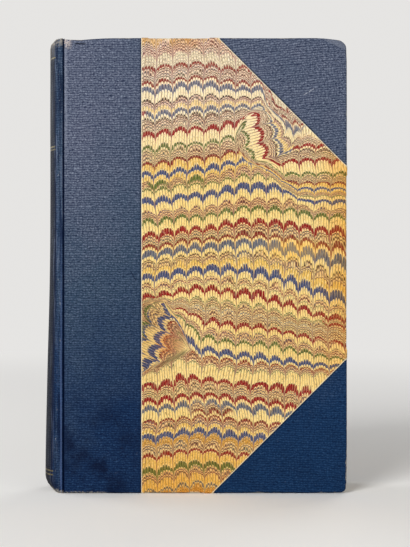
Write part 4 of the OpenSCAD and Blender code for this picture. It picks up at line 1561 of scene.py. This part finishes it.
class BOOK_OT_endpapers(bpy.types.Operator):
    """Lay the flyleaves and pastedowns and the fold of paper in each joint"""

    bl_idname = "book.endpapers"
    bl_label = "Endpapers"

    def execute(self, context):
        paper = endpaper_material()
        for name, side in SIDES.items():
            self.flyleaf(name, side, paper)
            self.pastedown(name, side, paper)
            self.fold(name, side, paper)
        return {"FINISHED"}

    def flyleaf(self, name, side, paper):
        gutter = 0.0002

        def place(s, t):
            x = gutter + (BLOCK_END - gutter) * s
            z = BLOCK_FOOT + (BLOCK_TOP - BLOCK_FOOT) * t
            wave = noise.noise(Vector((x * 30, z * 22, side))) * LEAF_RIPPLE + LEAF_RIPPLE
            return x, BLOCK_HALF + LEAF_CLEAR + wave, z

        piece = laid_sheet(f"{name}_flyleaf_leaf", side, 40, 60, place)
        finish_leaf(piece, side, paper, LEAF_T * 0.6)
        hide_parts(f"{name}_flyleaf")
        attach(piece, "block")

    def pastedown(self, name, side, paper):
        turn_in = bpy.context.scene.book_sizes.turn_in
        margin = paste_low[2]
        x_end = paste_high[0] - JOINT_X
        soft = 0.0012
        past_edge = 0.0009
        mull_end = 0.0300
        sink = 0.00030
        pressed = 0.00002

        def place(s, t):
            x = BOARD_X + (x_end - BOARD_X) * s
            z = margin + (COVER_H - 2 * margin) * t
            past_turn_in = min(COVER_W - x, z, COVER_H - z) - turn_in - past_edge
            dish = min(1.0, max(0.0, past_turn_in / soft))
            past_mull = min(1.0, max(0.0, (x - mull_end) / soft))
            return x, PASTE + LEAF_T - pressed + sink * dish * past_mull, z

        piece = laid_sheet(f"{name}_pastedown_leaf", side, 110, 150, place)
        finish_leaf(piece, -side, paper, LEAF_T)
        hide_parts(f"{name}_pastedown")
        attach(piece, f"{name}_cover")

    def fold(self, name, side, paper):
        leaf, board = BLOCK_HALF, PASTE
        route = [
            (0.0010, leaf + 0.00012), (0.0002, leaf + 0.00014), (-0.0004, leaf + 0.0006),
            (-0.00085, leaf + 0.0013), (-0.0006, leaf + 0.0019), (0.0, leaf + 0.0022),
            (0.00025, leaf + 0.0019), (0.00030, leaf + 0.0012), (0.0006, board + 0.00008),
            (0.0016, board + 0.00010),
        ]
        short = 0.001

        def place(s, t):
            along = s * (len(route) - 1)
            first = min(int(along), len(route) - 2)
            start, end = Vector(route[first]), Vector(route[first + 1])
            x, depth = start.lerp(end, along - first)
            return x, depth, BLOCK_FOOT + short + (BLOCK_TOP - BLOCK_FOOT - 2 * short) * t

        piece = laid_sheet(f"{name}_endpaper_fold", side, 72, 50, place)
        finish_leaf(piece, side, paper, LEAF_T * 0.5)
        low = Vector((JOINT_X - 0.0006, side * (BLOCK_HALF + 0.0014), 0.1))
        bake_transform(piece)


def finish_leaf(piece, side, paper, thickness):
    """Thickens a leaf away from what it lies on and gives it its paper."""
    face_out(piece, Vector((0, side, 0)))
    thicken(piece, thickness, 1.0)
    dress(piece, paper)


class BOOK_OT_stage(bpy.types.Operator):
    """Set the floor, the lights, the background and the camera"""

    bl_idname = "book.stage"
    bl_label = "Stage"

    def execute(self, context):
        look = context.scene.stage_look
        self.floor(look)
        self.world(context.scene, look)
        for name, settings in LAMPS.items():
            self.lamp(name, *settings)
        self.camera(context.scene, look)
        context.scene.view_settings.view_transform = "Standard"
        return {"FINISHED"}

    def floor(self, look):
        floor = start_piece(
            bpy.ops.mesh.primitive_circle_add, "floor", radius=4.0, vertices=96, fill_type="NGON"
        )
        material, r, shader = new_material("Pale floor", Roughness=0.9, Specular_IOR_Level=0.1)
        r.feed(shader["Base Color"], look.floor)
        glow = r.made("ShaderNodeEmission", {"Color": look.backdrop, "Strength": 1.0})
        far = r.step(0.0, 1.1, r.length(r.made("ShaderNodeTexCoord", output="Object")))
        seen = r.made("ShaderNodeLightPath", output="Is Camera Ray")
        nodes = material.node_tree.nodes
        plain = Field(r, nodes["Principled BSDF"].outputs[0])
        mix = r.made("ShaderNodeMixShader", {0: far * seen, 1: plain, 2: glow})
        r.feed(nodes["Material Output"].inputs["Surface"], mix)
        dress(floor, material)

    def world(self, scene, look):
        world = bpy.data.worlds.new("Studio")
        scene.world = world
        world.use_nodes = True
        r = Recipe(world.node_tree)
        background = world.node_tree.nodes["Background"].inputs
        seen = r.made("ShaderNodeLightPath", output="Is Camera Ray")
        mirrored = r.made("ShaderNodeLightPath", output="Is Glossy Ray")
        r.feed(background["Color"], look.backdrop)
        r.feed(background["Strength"], r.step(0.0, 1.0, r.most(seen, mirrored), AMBIENT, 1.0))

    def lamp(self, name, place, target, size, power):
        data = bpy.data.lights.new(name, "AREA")
        data.shape = "DISK"
        data.size = size
        data.energy = power
        lamp = bpy.data.objects.new(name, data)
        lamp.location = place
        lamp.rotation_euler = (Vector(target) - Vector(place)).to_track_quat("-Z", "Y").to_euler()
        bpy.context.scene.collection.objects.link(lamp)

    def camera(self, scene, look):
        data = bpy.data.cameras.new("camera")
        camera = bpy.data.objects.new("camera", data)
        camera.location = (look.centre_x, -OUTSIDE - look.distance, look.centre_z)
        camera.rotation_euler = (math.pi / 2, 0, 0)
        data.sensor_fit = "VERTICAL"
        data.sensor_height = 24.0
        data.lens = data.sensor_height * look.distance / look.frame_height
        scene.collection.objects.link(camera)
        scene.camera = camera


class BOOK_PT_panel(bpy.types.Panel):
    """Lists the book's sizes, colours and pieces"""

    bl_label = "Half-Cloth Book"
    bl_idname = "BOOK_PT_panel"
    bl_space_type = "VIEW_3D"
    bl_region_type = "UI"
    bl_category = "Book"

    def draw(self, context):
        for group in (getattr(context.scene, name) for name in GROUPS):
            box = self.layout.box()
            for name in group.bl_rna.properties.keys():
                if name not in ("rna_type", "name"):
                    box.prop(group, name)
        for step in STEPS:
            self.layout.operator(step.bl_idname)


STEPS = (
    BOOK_OT_stage,
    BOOK_OT_boards,
    BOOK_OT_cloth_sides,
    BOOK_OT_cloth_corners,
    BOOK_OT_side_papers,
    BOOK_OT_spine_cloth,
    BOOK_OT_joint_cloth,
    BOOK_OT_text_block,
    BOOK_OT_endpapers,
    BOOK_OT_inner_parts,
    BOOK_OT_headbands,
)
GROUPS = {"book_sizes": BookSizes, "book_colours": BookColours, "stage_look": StageLook}


def register():
    for name, group in GROUPS.items():
        bpy.utils.register_class(group)
        setattr(bpy.types.Scene, name, PointerProperty(type=group))
    for item in (*STEPS, BOOK_PT_panel):
        bpy.utils.register_class(item)


def unregister():
    for item in (BOOK_PT_panel, *reversed(STEPS)):
        bpy.utils.unregister_class(item)
    for name, group in GROUPS.items():
        delattr(bpy.types.Scene, name)
        bpy.utils.unregister_class(group)


def main():
    register()
    for step in STEPS:
        family, name = step.bl_idname.split(".")
        getattr(getattr(bpy.ops, family), name)()


if __name__ == "__main__":
    main()
